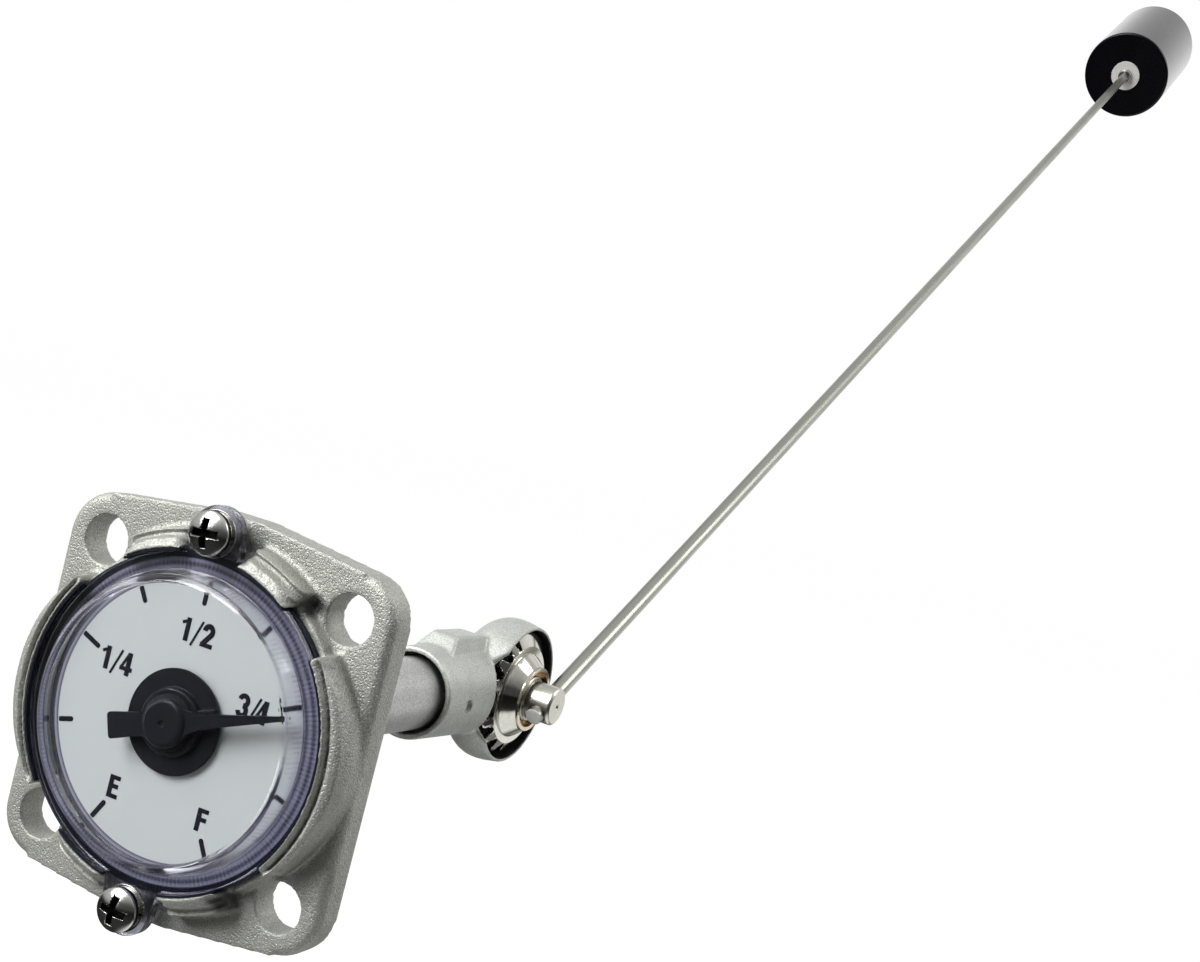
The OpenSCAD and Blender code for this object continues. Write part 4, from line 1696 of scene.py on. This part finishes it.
@dataclass
class GearEnd:
    """Cast housing and crown gear."""

    gear_edge: float = 0.07
    pin_y: float = HUB_Y - 22.0
    pin_turn: float = 94.0
    pin_from: float = 7.5
    hole_r: float = 1.05
    hole_reach: float = 1.5
    hole_slope: float = 0.3

    def build(self) -> None:
        """Makes the gear end's pieces."""
        Workshop.cast("gear_housing", Body.HEAD, Finishes.HOUSING, Skin(grid=0.3, shape=self._pin_hole))
        Workshop.refine("tube_pin", Body.HEAD, Finishes.PIN, Softening(width=0.15))
        Workshop.refine("crown_gear", Body.ARM, Finishes.GEAR, Softening(width=self.gear_edge))
        Workshop.refine("pivot_shaft", Body.ARM, Finishes.PIVOT, Softening(width=0.1, angle=30.0))
        Workshop.dress("shaft_clip", Finishes.WASHER)

    def _pin_hole(self, mesh: Mesh) -> None:
        """Opens the tube pin's hole wider, because the skin's faces narrow it.

        Args:
            mesh: The housing's skin.
        """
        lean = math.radians(self.pin_turn)
        axis = Vector((math.sin(lean), 0.0, math.cos(lean)))
        start = Vector((0.0, self.pin_y * MM, 0.0))
        for vert in mesh.verts:
            along = (vert.co - start).dot(axis)
            if along < self.pin_from * MM:
                continue
            side = vert.co - start - axis * along
            away = side.length / MM
            if 0.05 < away < self.hole_reach:
                vert.co += side.normalized() * (self.hole_r + self.hole_slope * away - away) * MM


@dataclass
class Arm:
    """Rod, float and what holds it."""

    float_edge: float = 0.3

    def build(self) -> None:
        """Makes the arm's pieces."""
        Workshop.refine("float_rod", Body.ARM, Finishes.ROD, Softening(width=0.2))
        soft = Softening(width=self.float_edge, segments=3, angle=20.0)
        Workshop.refine("float", Body.ARM, Finishes.FLOAT, soft)
        for node in ("near_washer", "far_washer"):
            Workshop.refine(node, Body.ARM, Finishes.DISC, Softening(width=0.1))
        for node in ("rod_lock", "rod_nut"):
            Workshop.refine(node, Body.ARM, Finishes.WASHER, Softening(width=0.1))


@dataclass
class Studio:
    """Floor, lamps, sky and camera; all places are in metres, except the camera's, in millimetres."""

    floor_z: float = -0.56
    floor_reach: float = 12.0
    floor_glow: float = 0.9
    floor_beyond: Span = (0.5, 2.2)
    patch: Span = (0.34, 0.14)
    patch_r: Span = (0.34, 0.56)
    patch_glow: float = 0.8
    lamp_aim: Point = (0.0, 0.05, 0.0)
    room_light: Span = (0.05, 0.75)
    more_mirrored: float = 0.25
    less_scattered: float = -0.5
    place: Point = (132.214187, -202.638096, 56.992744)
    turn: tuple[float, float, float, float] = (0.703721, 0.678777, 0.017719, 0.209104)
    lens: float = 50.8097
    shift: Span = (-0.096801, 0.072385)

    def build(self) -> None:
        """Sets the whole studio."""
        self._floor()
        self._sky()
        self._lamp("key", (-0.66, -0.85, 0.85), 0.9, 26.0)
        self._lamp("rim", (0.75, 0.55, 0.75), 0.5, 3.6)
        self._lamp("fill", (-1.1, -0.7, -0.1), 0.5, 4.5, mirrored=False)
        self._camera()
        bpy.context.scene.view_settings.view_transform = "Standard"

    def _floor(self) -> None:
        """Lays a plain pale floor under everything."""
        mesh = bmesh.new()
        bmesh.ops.create_grid(mesh, x_segments=1, y_segments=1, size=self.floor_reach)
        bmesh.ops.translate(mesh, vec=(0.0, 0.0, self.floor_z), verts=mesh.verts)
        data = bpy.data.meshes.new("floor")
        mesh.to_mesh(data)
        mesh.free()
        floor = bpy.data.objects.new("floor", data)
        bpy.context.scene.collection.objects.link(floor)
        finish = bpy.data.materials.new("floor_white")
        finish.use_nodes = True
        graph = Graph(finish.node_tree)
        level, dim = self._seen(graph)
        pale = graph.blend(dim, shade(WHITE, 0.4), shade(WHITE, 0.03))
        plain = graph.add(Kind.DIFFUSE, {"Color": pale})
        glow = graph.add(Kind.EMISSION, {"Color": shade(WHITE), "Strength": level})
        both = graph.add(Kind.SUM, {0: plain.outputs[0], 1: glow.outputs[0]})
        graph.add(Kind.MATERIAL_OUT, {"Surface": both.outputs[0]})
        data.materials.append(finish)

    def _seen(self, graph: Graph) -> tuple[Socket, Socket]:
        """Finds how white the floor is for each kind of ray.

        The camera sees it white everywhere. Gloss and glass see it white behind the gauge, pale in
        a round patch at its right, and dark elsewhere, as a room would be. Diffuse light gets no
        glow from it.

        Args:
            graph: The floor material's graph.

        Returns:
            The glow's strength, and a mask of rays that meet the dark room instead of the floor.
        """
        path = graph.add(Kind.PATH).outputs
        place = graph.add(Kind.SPLIT, {0: graph.add(Kind.GEOMETRY).outputs["Position"]}).outputs
        beside = graph.math("SUBTRACT", place[0], self.patch[0])
        away = graph.length(beside, graph.math("SUBTRACT", place[1], self.patch[1]))
        patch = graph.remap(away, *self.patch_r, self.patch_glow, 0.0)
        beyond = graph.math("MAXIMUM", graph.remap(place[1], *self.floor_beyond), patch)
        gleam = graph.math("MAXIMUM", path["Is Transmission Ray"], path["Is Glossy Ray"])
        direct = graph.math("LESS_THAN", path["Diffuse Depth"], 0.5)
        clear = graph.math("MULTIPLY", graph.math("MULTIPLY", gleam, beyond), direct)
        seen = graph.math("MAXIMUM", path["Is Camera Ray"], clear)
        dim = graph.math("MULTIPLY", path["Is Glossy Ray"], graph.math("SUBTRACT", 1.0, beyond))
        return graph.math("MULTIPLY", seen, self.floor_glow), dim

    def _sky(self) -> None:
        """Makes a sky that is white behind the gauge, pale above and at the left, and dim elsewhere."""
        world = bpy.data.worlds.new("studio_sky")
        world.use_nodes = True
        bpy.context.scene.world = world
        graph = Graph(world.node_tree)
        parts = graph.add(Kind.SPLIT, {0: graph.add(Kind.COORD).outputs["Generated"]}).outputs
        behind = graph.remap(parts[1], 0.45, 0.85)
        above = graph.remap(parts[2], 0.25, 0.9, 0.0, 0.75)
        left = graph.remap(parts[0], -0.2, -0.85, 0.0, 0.5)
        left = graph.math("MULTIPLY", left, graph.remap(parts[2], -0.3, 0.1))
        bright = graph.math("MAXIMUM", graph.math("MAXIMUM", behind, above), left)
        path = graph.add(Kind.PATH).outputs
        bounces = graph.math("ADD", path["Diffuse Depth"], path["Glossy Depth"])
        clear = graph.math("MULTIPLY", path["Is Transmission Ray"], graph.math("LESS_THAN", bounces, 0.5))
        white = graph.math("MAXIMUM", path["Is Camera Ray"], clear)
        mirrored = graph.math("MULTIPLY", path["Is Glossy Ray"], self.more_mirrored)
        scattered = graph.math("MULTIPLY", path["Is Diffuse Ray"], self.less_scattered)
        share = graph.math("ADD", graph.math("ADD", mirrored, scattered), 1.0)
        room = graph.math("MULTIPLY", graph.remap(bright, 0.0, 1.0, *self.room_light), share)
        level = graph.math("MAXIMUM", white, room)
        sky = graph.add(Kind.BACKGROUND, {"Color": shade(WHITE), "Strength": level})
        graph.add(Kind.WORLD_OUT, {"Surface": sky.outputs[0]})

    def _lamp(self, name: str, place: Point, size: float, power: float, mirrored: bool = True) -> None:
        """Hangs a soft lamp that faces the gauge.

        Args:
            name: The lamp's name.
            place: Where it hangs, in metres.
            size: Its side, in metres.
            power: Its power, in watts.
            mirrored: Whether glossy surfaces show it.
        """
        data = bpy.data.lights.new(name, "AREA")
        data.shape = "SQUARE"
        data.size = size
        data.energy = power
        lamp = bpy.data.objects.new(name, data)
        lamp.location = place
        aim = Vector(self.lamp_aim) - Vector(place)
        lamp.rotation_mode = "QUATERNION"
        lamp.rotation_quaternion = aim.to_track_quat("-Z", "Y")
        lamp.visible_glossy = mirrored
        bpy.context.scene.collection.objects.link(lamp)

    def _camera(self) -> None:
        """Stands the camera where the photographer stood."""
        data = bpy.data.cameras.new("photographer")
        data.sensor_width = 36.0
        data.lens = self.lens
        data.shift_x, data.shift_y = self.shift
        data.clip_start = 0.01
        data.clip_end = 50.0
        camera = bpy.data.objects.new("photographer", data)
        camera.location = Vector(self.place) * MM
        camera.rotation_mode = "QUATERNION"
        camera.rotation_quaternion = Quaternion(self.turn)
        bpy.context.scene.collection.objects.link(camera)
        bpy.context.scene.camera = camera


def main() -> None:
    """Builds the gauge piece by piece."""
    logging.basicConfig(level=logging.INFO, format="%(name)s %(message)s")
    for part in (Head(), Dial(), Pointer(), Drive(), GearEnd(), Arm(), Studio()):
        part.build()


if __name__ == "__main__":
    main()
